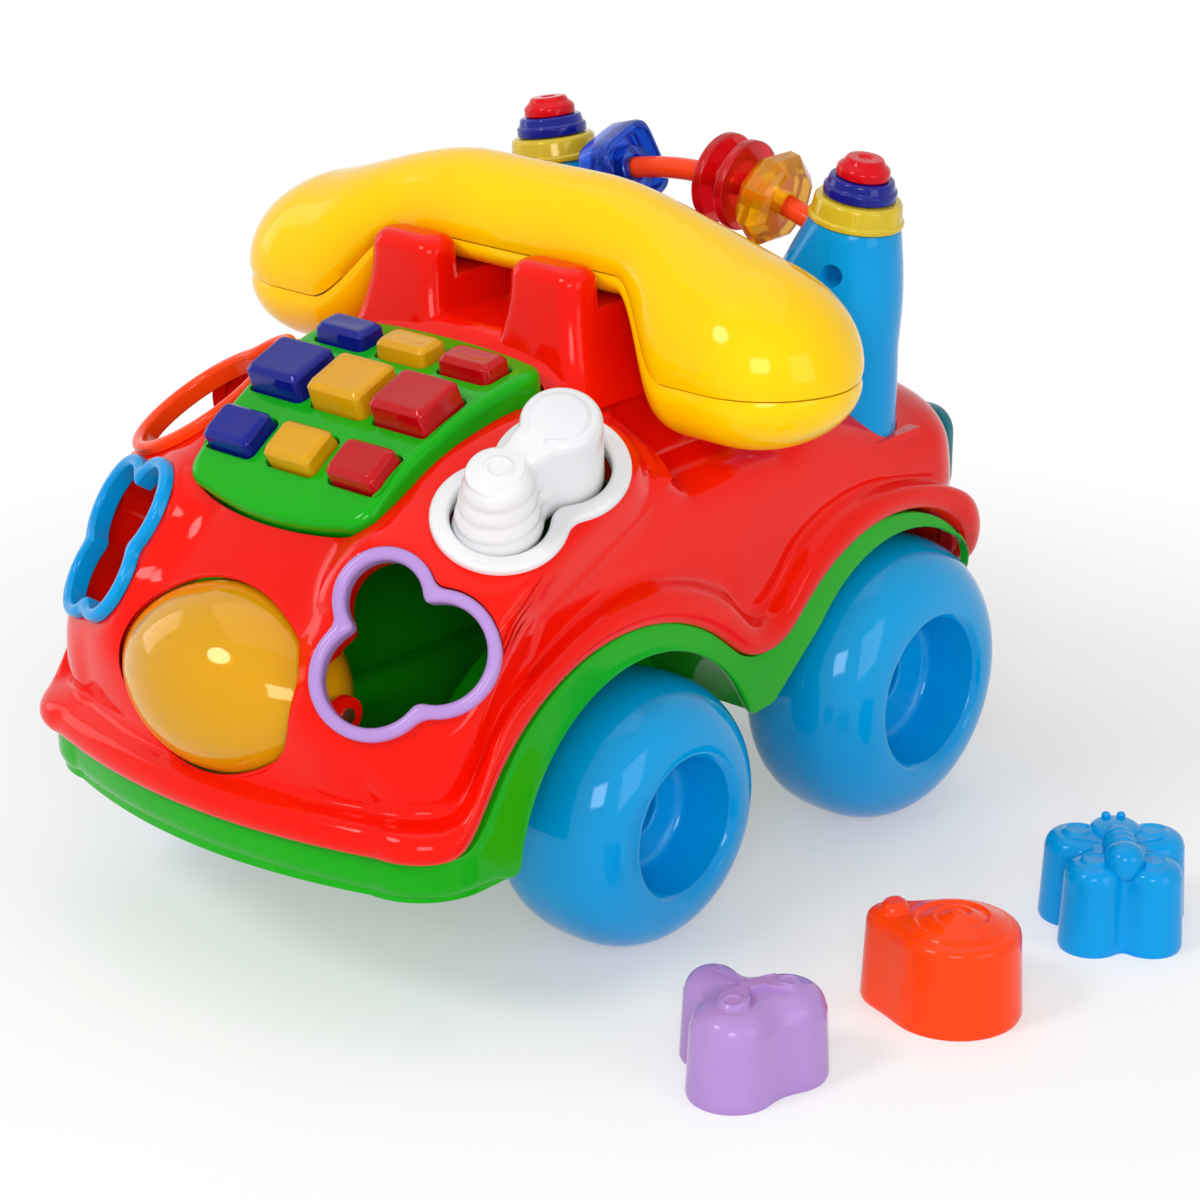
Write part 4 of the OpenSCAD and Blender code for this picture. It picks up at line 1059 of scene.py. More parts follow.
def snail_top(x, y):
    r, t = lobe_away(x, y, 0, -0.15), np.arctan2(y + 0.15 * LOBE_R, x)
    turn_share = (r / 6.2 - t / (2 * np.pi) + 0.2) % 1.0
    step = ease(turn_share / 0.25) - turn_share
    nub = lobe_away(x, y, 0.9, 1.15)
    return ease((21 - r) / 3) * (1.5 * step + 4.0 * clamp(1 - r / 21)) + 3.4 * ease((6.0 - nub) / 2.2)


TOPS = {"blue": butterfly_top, "lilac": beetle_top, "white": caterpillar_top, "orange": snail_top}
print("block tops:", sorted(TOPS))


# %% Block loft
FOOT_IN, FOOT_ROUND = 0.5, 1.2
STEP_H, STEP_SLANT, STEP_FLAT, STEP_X, STEP_Y = 7.2, 0.16, 0.62, 1.45, 14.2


def block_loft(kind):
    shoulder, soft = SHOULDERS[kind]
    rows = []
    for z in np.concatenate([[0.0, 0.4, FOOT_ROUND], np.linspace(2.5, BLOCK_H - shoulder, 26)]):
        rows.append((-DRAFT * z / BLOCK_H - FOOT_IN * (1 - ease(z / FOOT_ROUND)), z))
    for a in np.radians(np.linspace(0, 90, 12)[1:]):
        rows.append((-DRAFT - shoulder * (1 - math.cos(a)), BLOCK_H - shoulder + shoulder * math.sin(a)))
    rings = [level_ring(hole_path(kind, grow, soft), z) for grow, z in rows]
    rim = rings[-1]
    for share in np.linspace(1, 0.02, 30)[1:]:
        x, y = rim[:, 0] * share, rim[:, 1] * share
        rings.append(np.column_stack([x, y, BLOCK_H + ease((1 - share) / 0.12) * TOPS[kind](x, y)]))
    return np.array(rings)


def stepped(rings):
    """The caterpillar's front lobe narrows upwards in four slanted steps."""
    x, y, z = (rings[..., k] for k in range(3))
    front = ease((3 - y) / 7)
    level = (z - STEP_SLANT * x) / STEP_H
    step = np.floor(level) + ease((level % 1 - STEP_FLAT) / (1 - STEP_FLAT))
    swell = np.sin(np.pi * clamp(level % 1 / STEP_FLAT))
    pull = 1 - front * (0.055 * np.clip(step, 0, 4) - 0.03 * swell)
    x = (x + STEP_X) * pull - STEP_X
    y = np.where(front > 0, (y + STEP_Y) * pull - STEP_Y, y)
    return np.stack([x, y, z * (1 - 0.06 * front)], -1)


# Place on the floor and turn of the three loose blocks, and how far the fourth sits into its hole.
STANDS = {"blue": (205, 36, 40), "lilac": (174, -127, 40), "orange": (196, -50, 138)}
IN_HOLE = (0, 0.3 - HOLE_GAP, -3)
sorter_blocks = {}
for kind in LOBES:
    rings = block_loft(kind)
    if kind == "white":
        rings = stepped(rings)
        place = hole_place(kind) @ move(*IN_HOLE)
    else:
        x, y, degrees = STANDS[kind]
        place = move(x, y, 0) @ turn("z", degrees)
    sorter_blocks[kind] = (object_of(f"sorter_block_{kind}", put(skin(rings), place)), place)
print("blocks:", {k: len(b.data.polygons) for k, (b, _) in sorter_blocks.items()})


# %% Butterfly's body, then finish the blocks
def capsule(length, radius, bands):
    """A banded body lying along Z, rounded at both ends."""
    t = np.sin(np.linspace(-np.pi / 2, np.pi / 2, 60))
    r = radius * np.maximum(1 - np.abs(t) ** 2.6, 0.0005) ** 0.5 * (1 + 0.05 * np.cos(bands * np.pi * t))
    return lathe(np.column_stack([r, t * length / 2]), 40, wrap=False)


blue_block, blue_place = sorter_blocks["blue"]
head_profile = soften([(0.05, -6, 0), (9, -6, 0), (9, 2.2, 3), (0.05, 3.4, 0)], 8, closed=False)
feeler = capsule(3.4, 1.5, 0)
parts = [
    (capsule(24, 5.6, 6), move(0, -2, BLOCK_H + 0.8) @ turn("x", 90)),
    (capsule(13.5, 6.6, 0), move(0, -13, BLOCK_H + 0.6)),
    (lathe(head_profile, 64, wrap=False), move(0, 13, BLOCK_H)),
    (feeler, move(-2.6, 18, BLOCK_H + 3)),
    (feeler, move(2.6, 18, BLOCK_H + 3)),
]
for shape, place in parts:
    combine(blue_block, put(shape, blue_place @ place), "UNION")
for kind, (thing, _) in sorter_blocks.items():
    finished(thing, f"sorter_{kind}", f"block_{kind}", [f"block_{kind}"], 45)

# %% [markdown]
# ## Keypad
# The keypad is a thick green slab, bent to the hood, with nine key openings and a soft outer edge. It is
# drawn flat: the outline, the nine openings and a grid of points are joined by a Delaunay triangulation,
# which keeps the edges. The sheet is then bent round the hood, and walls with rounded edges are added.

# %% Keypad layout
KEY_PITCH, PANEL_LOW_R, PANEL_EDGE, KEY_EDGE = 28.5, 126.3, 3.6, 0.7
# Angle along the hood, width, length and height of the keys in each row.
ROWS = {"top": (10, 23, 13, 6), "mid": (22, 25, 21, 8.8), "low": (34.5, 22, 16, 6)}
COLUMNS = {"left": -1, "mid": 0, "right": 1}


def bend(path, r):
    """Lays flat points (across, up) on the hood at radius r from its middle line."""
    phi = math.radians(PANEL_MID) - np.arcsin(path[:, 1] / PANEL_R)
    return np.column_stack([path[:, 0], HOOD_Y - r * np.sin(phi), HOOD_Z + r * np.cos(phi)])


def dense(path, step=2.5):
    """The same path with more points."""
    rows = []
    for a, b in zip(path, np.roll(path, -1, 0)):
        n = max(int(np.linalg.norm(b - a) / step), 1)
        rows += [mix(a, b, k / n) for k in range(n)]
    return np.array(rows)


def inside(path, p):
    """Whether a point lies in a closed path: a ray from it crosses the path an odd number of times."""
    a, b = path, np.roll(path, -1, 0)
    over = (a[:, 1] > p[1]) != (b[:, 1] > p[1])
    with np.errstate(divide="ignore", invalid="ignore"):
        cross = a[:, 0] + (p[1] - a[:, 1]) / (b[:, 1] - a[:, 1]) * (b[:, 0] - a[:, 0])
    return np.count_nonzero(over & (p[0] < cross)) % 2 == 1


openings = []
for angle, w, l, _ in ROWS.values():
    up = PANEL_R * math.sin(math.radians(PANEL_MID - angle))
    for col in COLUMNS.values():
        openings.append(dense(round_box(w + 1, l + 1, 3)) + (col * KEY_PITCH, up))
rim = dense(panel_path(0))
loops = [inset(rim, PANEL_EDGE)] + [inset(o, -KEY_EDGE) for o in openings]
print("keypad loops:", [len(loop) for loop in loops])


# %% Keypad sheet
def on_sheet(p):
    return inside(loops[0], p) and not any(inside(o, p) for o in loops[1:])


near = np.concatenate(loops)
grid = np.array([(x, y) for y in np.arange(-52, 52, 2.5) for x in np.arange(-50, 51, 5.0)])
keep = [p for p in grid if on_sheet(p) and np.linalg.norm(near - p, axis=1).min() > 1.0]
flat = np.concatenate([near, keep])
edges, start = [], 0
for loop in loops:
    edges += [(start + i, start + (i + 1) % len(loop)) for i in range(len(loop))]
    start += len(loop)
coords, _, cells, *_ = geometry.delaunay_2d_cdt([Vector(p) for p in flat.tolist()], edges, [], 0, 1e-6)
flat = np.array([tuple(c) for c in coords])
cells = [c for c in cells if on_sheet(flat[list(c)].mean(0))]
print("keypad sheet:", len(cells), "triangles")

# %% Keypad slab
FLANGE_W, FLANGE_R = 2.4, PANEL_LOW_R - 8
count = len(flat)
points = [bend(flat, PANEL_R), bend(flat, PANEL_LOW_R)]
faces = [tuple(c) for c in cells] + [tuple(count + i for i in c[::-1]) for c in cells]
start, total = 0, 2 * count
for k, base in enumerate([rim] + openings):
    n = len(base)
    depth, sign = (PANEL_EDGE, 1) if k == 0 else (KEY_EDGE, -1)
    walls = []
    for a in np.radians(np.linspace(0, 90, 7)[1:]):
        walls.append((inset(base, sign * (depth * (1 - math.sin(a)))), PANEL_R - depth * (1 - math.cos(a))))
    if k == 0:
        walls += [(base, FLANGE_R), (inset(base, FLANGE_W), FLANGE_R)]
    else:
        walls += [(base, PANEL_LOW_R + 0.05)]
    rings = [start + np.arange(n)]
    for path, r in walls:
        points.append(bend(path, r))
        rings.append(total + np.arange(n))
        total += n
    rings.append(count + start + np.arange(n))
    for a, b in zip(rings, rings[1:]):
        faces += [(a[i], b[i], b[(i + 1) % n], a[(i + 1) % n]) for i in range(n)]
    start += n
keypad = object_of("keypad_slab", (np.concatenate(points), faces))
work = bmesh.new()
work.from_mesh(keypad.data)
bmesh.ops.recalc_face_normals(work, faces=work.faces)
print("open keypad edges:", sum(1 for e in work.edges if not e.is_manifold))
work.to_mesh(keypad.data)
work.free()
finished(keypad, "keypad_green", "car", ["keypad_panel"], 40)

# %% [markdown]
# ## Keys
# The nine keys are clear tinted caps: thick walls, a wide bevel and a hollow underneath that shows through.
# Each is one loft of rounded rectangles, from the inside of the hollow, round the flange, to the top.


# %% Keys
def key_loft(w, l, h):
    """Rings (distance in, height) from the hollow's ceiling, round the flange, to the top."""
    rows = [
        (w * 0.28, h - 2.2), (3.4, h - 2.2), (2.6, h - 3.2), (2.5, -7.9), (-0.9, -7.9), (-0.9, -6.5),
        (0, -6.4), (0.45, h - 2.3), (0.55, h - 2.0), (0.8, h - 1.7), (1.9, h - 0.45), (2.2, h - 0.3),
        (2.6, h - 0.25), (4.2, h - 0.3), (w * 0.28, h - 0.4),
    ]
    rings = []
    for away, z in rows:
        away = min(away, 0.4 * l)
        path = round_box(w - 2 * away, l - 2 * away, max(2.5 - 0.3 * away, 0.8) if away >= 0 else 0.6)
        rings.append(level_ring(path, z))
    return skin(rings)


KEY_FINISH = {"left": "clear_navy", "mid": "clear_amber", "right": "clear_red"}
for row, (angle, w, l, h) in ROWS.items():
    for col, across in COLUMNS.items():
        name = f"key_{row}_{col}"
        place = move(across * KEY_PITCH, HOOD_Y, HOOD_Z) @ turn("x", angle) @ move(0, 0, PANEL_R)
        cap = object_of(f"{name}_cap", put(key_loft(w, l, h), place))
        finished(cap, KEY_FINISH[col], name, [name], 28)

# %% [markdown]
# ## Roller
# The roller is a hollow clear lemon. An axle tube with a ring on it runs through the inside. The outside
# and the hollow are two turned skins; the hollow's faces point inwards.

# %% Roller
BORE_R, TUBE_R, RING_R, SKIN_T = 3.1, 4, 7.6, 2.5
outside = np.concatenate([lemon(0, 56), [(BORE_R, ROLLER_HALF), (BORE_R, -ROLLER_HALF)]])
hollow = lemon(-SKIN_T, 44)[1:-1]
tube = soften([
    (TUBE_R, hollow[-1, 1], 0), (TUBE_R, 21, 0), (RING_R, 20, 1), (RING_R, 16, 1), (TUBE_R, 15, 0),
    (TUBE_R, hollow[0, 1], 0),
], 4, closed=False)
lemon_skin = object_of("lemon_skin", put(lathe(outside, 120), roller_place))
hollow_shape = put(lathe(np.concatenate([hollow, tube]), 120), roller_place)
lemon_hollow = object_of("lemon_hollow", hollow_shape, cavity=True)
lemon_roller = joined([lemon_skin, lemon_hollow], "lemon_roller")
finished(lemon_roller, "clear_amber", "roller", ["nose_roller"], 40, "roller_amber")

# %% [markdown]
# ## Handset
# The handset is two yellow halves that meet along a groove. The groove runs low under the grip and dips
# round the two ends. Each half is a loft along the length; every section is an arch closed by a flat, with
# its two corners rounded, and the rounded corners of both halves make the groove.

# %% Handset sections
HALF_LEN, END_R, GRIP_D, GRIP_EDGE = 130.9, 34, 38, 48.5
GROOVE, GROOVE_R, LOWER_SHARE = 0.3, 1.5, 0.975


def handset_station(x):
    """Middle height, rise, fall and half depth of the handset at distance x."""
    a = abs(x)
    top = mix(GRIP_Z + GRIP_D - 1, GRIP_Z + GRIP_D - 22, ramp(a, 25, 95))
    low = mix(GRIP_Z, END_LOW_Z, ramp(a, GRIP_EDGE, 24))
    half = mix(GRIP_D / 2 + 1, END_R, ramp(a, GRIP_EDGE, 33))
    part = mix(GRIP_Z + 10, END_LOW_Z + 24, ramp(a, GRIP_EDGE, 32))
    t = clamp((a - HALF_LEN + END_R) / END_R)
    fade = math.sqrt(max(1 - t * t, 0.0002))
    return part, (top - part) * fade, (part - low) * fade, half * fade


def handset_half(up, arc=40):
    t = np.sin(np.linspace(0, np.pi / 2, 90))
    xs = np.concatenate([np.linspace(0, GRIP_EDGE, 24)[:-1], mix(GRIP_EDGE, HALF_LEN * 0.9998, t)])
    xs = np.concatenate([-xs[:0:-1], xs])
    a = np.linspace(0, np.pi, arc)
    rings = []
    for x in xs:
        part, above, below, half = handset_station(x)
        height = above if up else -below
        edge = min(GROOVE_R, 0.25 * half)
        y, z = half * np.cos(a), height * np.sin(a) ** 0.85
        near = np.exp(-np.abs(z) / edge) * edge * 0.9
        y = y * (1 - near / half) * (1.0 if up else LOWER_SHARE)
        z = z + (GROOVE if up else -GROOVE)
        rings.append(np.column_stack([np.full(arc, x), HANDSET_Y + y, part + z]))
    return skin(rings)


for up, name in ((True, "handset_upper"), (False, "handset_lower")):
    finished(object_of(f"{name}_half", handset_half(up)), "handset_yellow", "handset", [name], 50)

# %% [markdown]
# ## Posts and bead rail
# Two blue posts stand in the deck. Each changes from a long rounded foot to a round top that leans
# outwards, and carries a stack: a clear yellow collar, a clear dark ring and a red cap. The rail between
# them is one bar swept along an arc by the same Geometry Nodes as the rolled edge.

# %% Posts
POST_X, POST_TOP_Z, POST_LEAN, TOP_R, SWELL = 70, 222, 9, 16.5, 1.2
POST_HOLE_R, POST_HOLE_D, POST_HOLE_AT = 4, 40, (3, -8, -16)
FOOT_ROWS, TAPER_Z = (SHELF_Z, 160, 172), 177
# Radius and height, from the post's top, of its shoulder and of the spigot that carries the stack.
SPIGOT = (
    (TOP_R - 0.35, -0.35), (TOP_R - 1.2, 0), (13.1, 0), (12.9, 6.5), (12.2, 7.2), (6.0, 7.3), (6.0, 21),
)


def post_axis(side):
    return move(side * POST_X, POST_Y, POST_TOP_Z) @ turn("y", side * POST_LEAN)


def ring_like_stadium(r, arc=24, flat=6):
    """A circle with its points in step with the stadium's."""
    path = []
    for start in (-90, 90):
        for a in np.radians(np.linspace(start, start + 180, arc)):
            path.append((r * math.cos(a), r * math.sin(a)))
        path += [path[-1]] * (flat - 1)
    return np.array(path) + np.linspace(0, 1e-4, len(path))[:, None]


def post_loft(side):
    at_foot = level_ring(stadium(0) + (POST_FOOT_X, POST_Y), 0.0)
    rings = [at_foot + (0, 0, z) for z in FOOT_ROWS]

    def top_ring(r, z):
        return put((level_ring(ring_like_stadium(r), z), []), post_axis(1))[0]

    low, high = at_foot + (0, 0, TAPER_Z), top_ring(TOP_R, -1.2)
    for t in np.linspace(0, 1, 16):
        row = mix(low, high, t)
        away = (row - row.mean(0)) * (1, 1, 0)
        swell = SWELL * math.sin(math.pi * t)
        rings.append(row + swell * away / np.maximum(np.linalg.norm(away, axis=1), 1e-6)[:, None])
    points, faces = skin(rings + [top_ring(r, z) for r, z in SPIGOT])
    return points * (side, 1, 1), faces


hole_profile = [(0, 0, 0), (POST_HOLE_R, 0, 0.8), (POST_HOLE_R, POST_HOLE_D, 0), (0, POST_HOLE_D, 0)]
post_hole = lathe(soften(hole_profile, 4)[1:-1], 40, wrap=False)
for side, label in ((1, "left"), (-1, "right")):
    post = object_of(f"post_{label}_cone", post_loft(side))
    dx, dy, dz = POST_HOLE_AT
    place = move(side * (POST_X + dx), POST_Y + dy, POST_TOP_Z + dz) @ turn("x", 90)
    combine(post, put(post_hole, place), "DIFFERENCE")
    finished(post, "post_blue", "car", [f"post_{label}"], 40)

# %% Collars, rings and caps
# Finish of each piece of the stack, and radius, height and rounding of its profile's corners.
STACK = {
    "post_collars": ("clear_yellow", [
        (13.3, 0.2, 0), (17.0, 0.2, 0.6), (17.0, 2.0, 0.8), (16.2, 2.6, 0.4), (15.4, 8.9, 1.8),
        (6.1, 8.9, 0), (6.1, 7.5, 0), (13.3, 7.5, 0.5),
    ]),
    "post_rings": ("clear_navy", [
        (6.1, 9.3, 0), (13.0, 9.3, 0.6), (13.0, 12.6, 0.9), (12.0, 13.2, 0.4), (11.4, 16.2, 1.2),
        (6.1, 16.2, 0),
    ]),
    "post_caps": ("cap_red", [
        (6.1, 16.4, 0), (9.5, 16.4, 0.6), (9.5, 19.6, 2.2), (7.4, 21.5, 0.8), (6.4, 23.2, 1.0),
        (3.0, 23.2, 1.2), (1.8, 22.3, 0.4), (0.05, 22.2, 0), (0.05, 20.8, 0), (6.1, 20.8, 0),
    ]),
}
for node, (finish, corners) in STACK.items():
    pair = [object_of(f"{node}_{s}", put(lathe(soften(corners, 6), 72), post_axis(s))) for s in (1, -1)]
    finished(joined(pair, f"{node}_turned"), finish, "car", [node], 35)

# %% Rail
RAIL_R, RAIL_Z, RAIL_END_X, ROD_R = 140, 228, 63, 4
reach = math.asin(RAIL_END_X / RAIL_R)
arc = np.linspace(-reach, reach, 72)
arc_points = [(RAIL_R * math.sin(t), POST_Y, RAIL_Z - RAIL_R + RAIL_R * math.cos(t)) for t in arc]
rail = bar_along("bead_rail_bar", arc_points, ROD_R, "rail_orange")
finished(rail, "rail_orange", "car", ["bead_rail"], 50)

# %% [markdown]
# ## Beads
# Three clear beads slide on the rail: a dished square, a spool and an octagon with wide bevels. Each is a
# closed loft of rings from its bore outwards and back, and only the outline of the rings differs.


# %% Beads
def on_rail(degrees):
    return move(0, POST_Y, RAIL_Z - RAIL_R) @ turn("y", degrees) @ move(0, 0, RAIL_R) @ turn("y", 90)


def polar(radius_at, count=96):
    t = np.linspace(0, 2 * np.pi, count, endpoint=False)
    return np.column_stack([radius_at(t) * np.cos(t), radius_at(t) * np.sin(t)])


def square_ring(size):
    def radius(t):
        a = t - math.radians(SQUARE_TURN)
        c, s = np.abs(np.cos(a)), np.abs(np.sin(a))
        return size / (c**5 + s**5) ** 0.2
    return polar(radius)


def octagon_ring(size):
    def radius(t):
        return size * math.cos(math.pi / 8) / np.cos((t + math.pi / 8) % (math.pi / 4) - math.pi / 8)
    return polar(radius)


def circle_ring(r):
    return polar(lambda t: r + 0 * t)


def bead_loft(rows):
    return skin([level_ring(path, z) for path, z in rows], wrap=True)


BORE, HALF_BEAD, SQUARE_TURN = 4.6, 7, 18
half_square = [(circle_ring(r), z) for r, z in (
    (BORE, 0), (BORE, 6.6), (5.0, HALF_BEAD), (7.6, HALF_BEAD), (8.0, 6.6), (8.2, 2.2), (8.8, 1.6),
)]
half_square += [(square_ring(r), z) for r, z in (
    (10.6, 1.6), (11.4, 2.2), (12.2, 6.4), (12.7, HALF_BEAD), (13.6, HALF_BEAD), (14.4, 6.4), (14.85, 4.8),
)]
square_rows = half_square + [(path, -z) for path, z in half_square[:0:-1]]
spool_path = soften([
    (BORE, -HALF_BEAD, 0.4), (16.5, -HALF_BEAD, 1.2), (16.5, -3.2, 1.2), (9, -2.4, 0.8), (9, 2.4, 0.8),
    (16.5, 3.2, 1.2), (16.5, HALF_BEAD, 1.2), (BORE, HALF_BEAD, 0.4),
], 6)
half_octagon = [(circle_ring(r), -HALF_BEAD) for r in (BORE, 7)]
half_octagon += [(octagon_ring(r), z) for r, z in (
    (12.6, -HALF_BEAD), (13.2, -6.7), (17.2, -2.6), (17.5, -2.0),
)]
octagon_rows = half_octagon + [(path, -z) for path, z in half_octagon[::-1]]
# Slot, finish, place along the rail in degrees, and shape of each bead.
BEADS = {
    "bead_square": ("clear_navy", "bead_blue", -15, bead_loft(square_rows)),
    "bead_spool": ("clear_red", "bead_red", 6.5, lathe(spool_path, 96)),
    "bead_octagon": ("clear_amber", "bead_amber", 14, bead_loft(octagon_rows)),
}
for name, (finish, look, at, shape) in BEADS.items():
    finished(object_of(f"{name}_clear", put(shape, on_rail(at))), finish, name, [name], 24, look)

# %% [markdown]
# ## Wheels
# Each wheel is a blown balloon with a deep stepped hub. It is turned from one closed profile: the bore, the
# hub's steps, the crisp mouth, the balloon and the small recess on the inner face.


# %% Wheels
WHEEL_X, WHEEL_W, HUB_DEEP, AXLE_BORE = 81, 54, 22, 3.05
# Place along the body, radius and hub radius of each pair.
WHEELS = {"front": (-76, 47.5, 25), "rear": (62, 53, 28.5)}


def wheel_profile(r, hub):
    h, floor_at = WHEEL_W / 2, WHEEL_W / 2 - HUB_DEEP
    corners = [
        (AXLE_BORE, -h + 6, 0), (AXLE_BORE, floor_at - 8, 0), (9, floor_at - 8, 1.5), (9, floor_at, 1.2),
        (hub - 4, floor_at, 4), (hub - 1.2, h - 2.4, 2), (hub + 0.6, h - 0.2, 1.0),
    ]
    mouth = soften(corners, 6, closed=False)
    t = np.cos(np.linspace(0.0, np.pi, 120))
    rim, flank = np.where(t > 0, (hub + 0.9) / r, 0.62), np.where(t > 0, 2.3, 2.6)
    round_off = np.maximum(1 - np.abs(t) ** flank, 0) ** np.where(t > 0, 0.5, 0.4545)
    balloon = np.column_stack([r * (rim + (1 - rim) * round_off), t * h])
    return np.concatenate([mouth, balloon, [(18.6, -h), (18, -h + 0.5), (16, -h + 6)]])


for end, (y, r, hub) in WHEELS.items():
    for side, label in ((1, "left"), (-1, "right")):
        node = f"{end}_wheel_{label}"
        place = move(side * WHEEL_X, y, r) @ turn("y", 90 * side)
        wheel = object_of(f"{node}_balloon", put(lathe(wheel_profile(r, hub), 144), place))
        finished(wheel, "wheel_blue", f"{end}_wheels", [node], 40)

# %% [markdown]
# ## Green chassis
# Below the red lip runs a green band: a deep skirt round the nose, a thin flange over each wheel and a
# point between the wheels. The band is a loft whose section follows the lip above and the wheel wells
# below. Inside it sit the floor, the wells and the axle bearings, cut as plain solids and joined to it.

# %% Band under the lip
SKIRT_Z, TIP_Z, FLOOR_Z, LIP_GAP, OUT = 50, 68, 61.5, 0.35, 4.0
WHEEL_ROOM, BAND_H, TAIL = 57, 15, 50
# Thickness of the band, and what it has more at the nose and at the rear.
BAND_T, NOSE_T, TAIL_T = 3, 7, 5
# Middle along the body, height and radius of the wells and of the arcs in the band's low edge.
WELLS = {"front": (-82, 46.5, 62.0), "rear": (59, 53, 61)}
BAND_ARCS = {"front": (-83.5, 46, 60.5), "rear": (57.5, 53, 59)}
PLAN_Z = 80.0
plan_x, plan_y = outline(PLAN_Z, OUT)
plan_x, plan_y = plan_x[HALF::-1], plan_y[HALF::-1]
plan_s = np.concatenate([[0], np.cumsum(np.hypot(np.diff(plan_x), np.diff(plan_y)))])
SIDE_S = np.interp(0.0, plan_y, plan_s)


def plan_at(s, o):
    """Point on the band's plan at arc length s from the nose, moved out by o from its outer face."""
    def on_plan(at):
        return np.interp(at, plan_s, plan_x), np.interp(at, plan_s, plan_y)

    (x, y), (x0, y0), (x1, y1) = on_plan(s), on_plan(s - 0.8), on_plan(s + 0.8)
    n = np.maximum(np.hypot(x1 - x0, y1 - y0), 1e-9)
    return x + (y1 - y0) / n * o, y - (x1 - x0) / n * o


def arc_of(end, a0, a1, count):
    y, z, r = BAND_ARCS[end]
    a = np.radians(np.linspace(a0, a1, count))
    return np.column_stack([y + r * np.cos(a), z + r * np.sin(a)])


def s_at(y):
    """Arc length from the nose to a place along the straight side."""
    return SIDE_S + y


front_arc, rear_arc = arc_of("front", 176.2, 21.0, 60), arc_of("rear", 146, 62, 50)
LAST_S = plan_s[-1]
low_path = [(0, SKIRT_Z, 0), (s_at(front_arc[0][0]), SKIRT_Z, 5)]
low_path += [(s_at(y), z, 0) for y, z in front_arc[3:-3]]
low_path += [(s_at(front_arc[-1][0] + 1), TIP_Z, 5), (s_at(-14), TIP_Z + 1, 7)]
low_path += [(s_at(y), z, 0) for y, z in rear_arc[3:]]
# Round the rear corner the edge stays under the lip, and clear of the turning wheel.
front_axle_y = WHEELS["front"][0]
rear_axle_y, rear_axle_z, _ = WHEELS["rear"]
corner_y = np.array([92, 97, 101, 105, 109, 112, 114])
corner_s = np.interp(corner_y, plan_y, plan_s)
rear_clear = rear_axle_z + np.sqrt(np.maximum(WHEEL_ROOM**2 - (corner_y - rear_axle_y) ** 2, 0))
low_path += [(s, max(lip_z(y) - LIP_GAP - BAND_H, c), 0) for s, y, c in zip(corner_s, corner_y, rear_clear)]
low_path += [(LAST_S - TAIL - 2, 70, 3), (LAST_S - TAIL, SKIRT_Z, 4), (LAST_S, SKIRT_Z, 0)]
low_edge = soften(low_path, 6, closed=False)
print("band runs", round(LAST_S), "mm from the nose to the rear on each side")

# %% Band loft
# Places on the low edge, and those on the lip that lie above them.
keys_low = [0, s_at(front_arc[0][0]), s_at(-84), s_at(-12), s_at(58), s_at(92), LAST_S - TAIL - 1, LAST_S]
keys_top = [0, s_at(-160), s_at(-89), s_at(-18), s_at(54), s_at(92), LAST_S - TAIL - 1, LAST_S]
length = np.concatenate([[0], np.cumsum(np.linalg.norm(np.diff(low_edge, axis=0), axis=1))])
steps = np.linspace(0, length[-1], 420)
low_s, low_z = np.interp(steps, length, low_edge[:, 0]), np.interp(steps, length, low_edge[:, 1])
top_s = np.interp(low_s, keys_low, keys_top)
top_z = lip_z(plan_at(top_s, 0.0)[1]) - LIP_GAP
thick = BAND_T + NOSE_T * (1 - ramp(low_s, s_at(-160), 20)) + TAIL_T * ramp(low_s, LAST_S - 48, 20)
radius = np.minimum(0.46 * thick + 4.2 * ramp(thick, 4, 4), 0.8 * np.maximum(top_z - low_z, 0.5))


def band_row(share, drop, o):
    """A row of the band: share 0 at the top edge, 1 at the low edge, drop in mm back from the low edge."""
    away = np.maximum(np.hypot(top_s - low_s, top_z - low_z), 1e-6)
    t = np.clip(share - drop / away, 0, 1)
    s, z = mix(top_s, low_s, t), mix(top_z, low_z, t)
    x, y = plan_at(s, o)
    return np.column_stack([x, y, z])


zero = 0 * radius
section = [band_row(0, zero - drop, zero - o) for drop, o in ((0, 0.8), (0.25, 0.25), (0.8, 0))]
section += [band_row(k, radius * k, zero) for k in (0.25, 0.5, 0.75)]
for a in np.radians(np.linspace(0, 90, 8)):
    section.append(band_row(1, radius * (1 - math.sin(a)), -radius * (1 - math.cos(a))))
section += [band_row(1, zero, -(thick - 0.8)), band_row(1, zero + 0.8, -thick)]
section += [band_row(k, zero, -thick) for k in (0.6, 0.3, 0)]
one_side = np.array(section).transpose(1, 0, 2)
other_side = one_side[-2:0:-1] * (-1, 1, 1)
band = object_of("green_chassis", skin(np.concatenate([one_side, other_side]), wrap=True))
print("band:", len(band.data.polygons), "faces")


# %% Floor, wells and bearings
def along_x(r, x0, x1, y, z, segments=128):
    return put(lathe([(r, x0), (r, x1)], segments, wrap=False), move(0, y, z) @ turn("y", 90))


def plan_prism(o, z0, z1):
    return prism(np.column_stack(outline(PLAN_Z, o)), z0, z1)


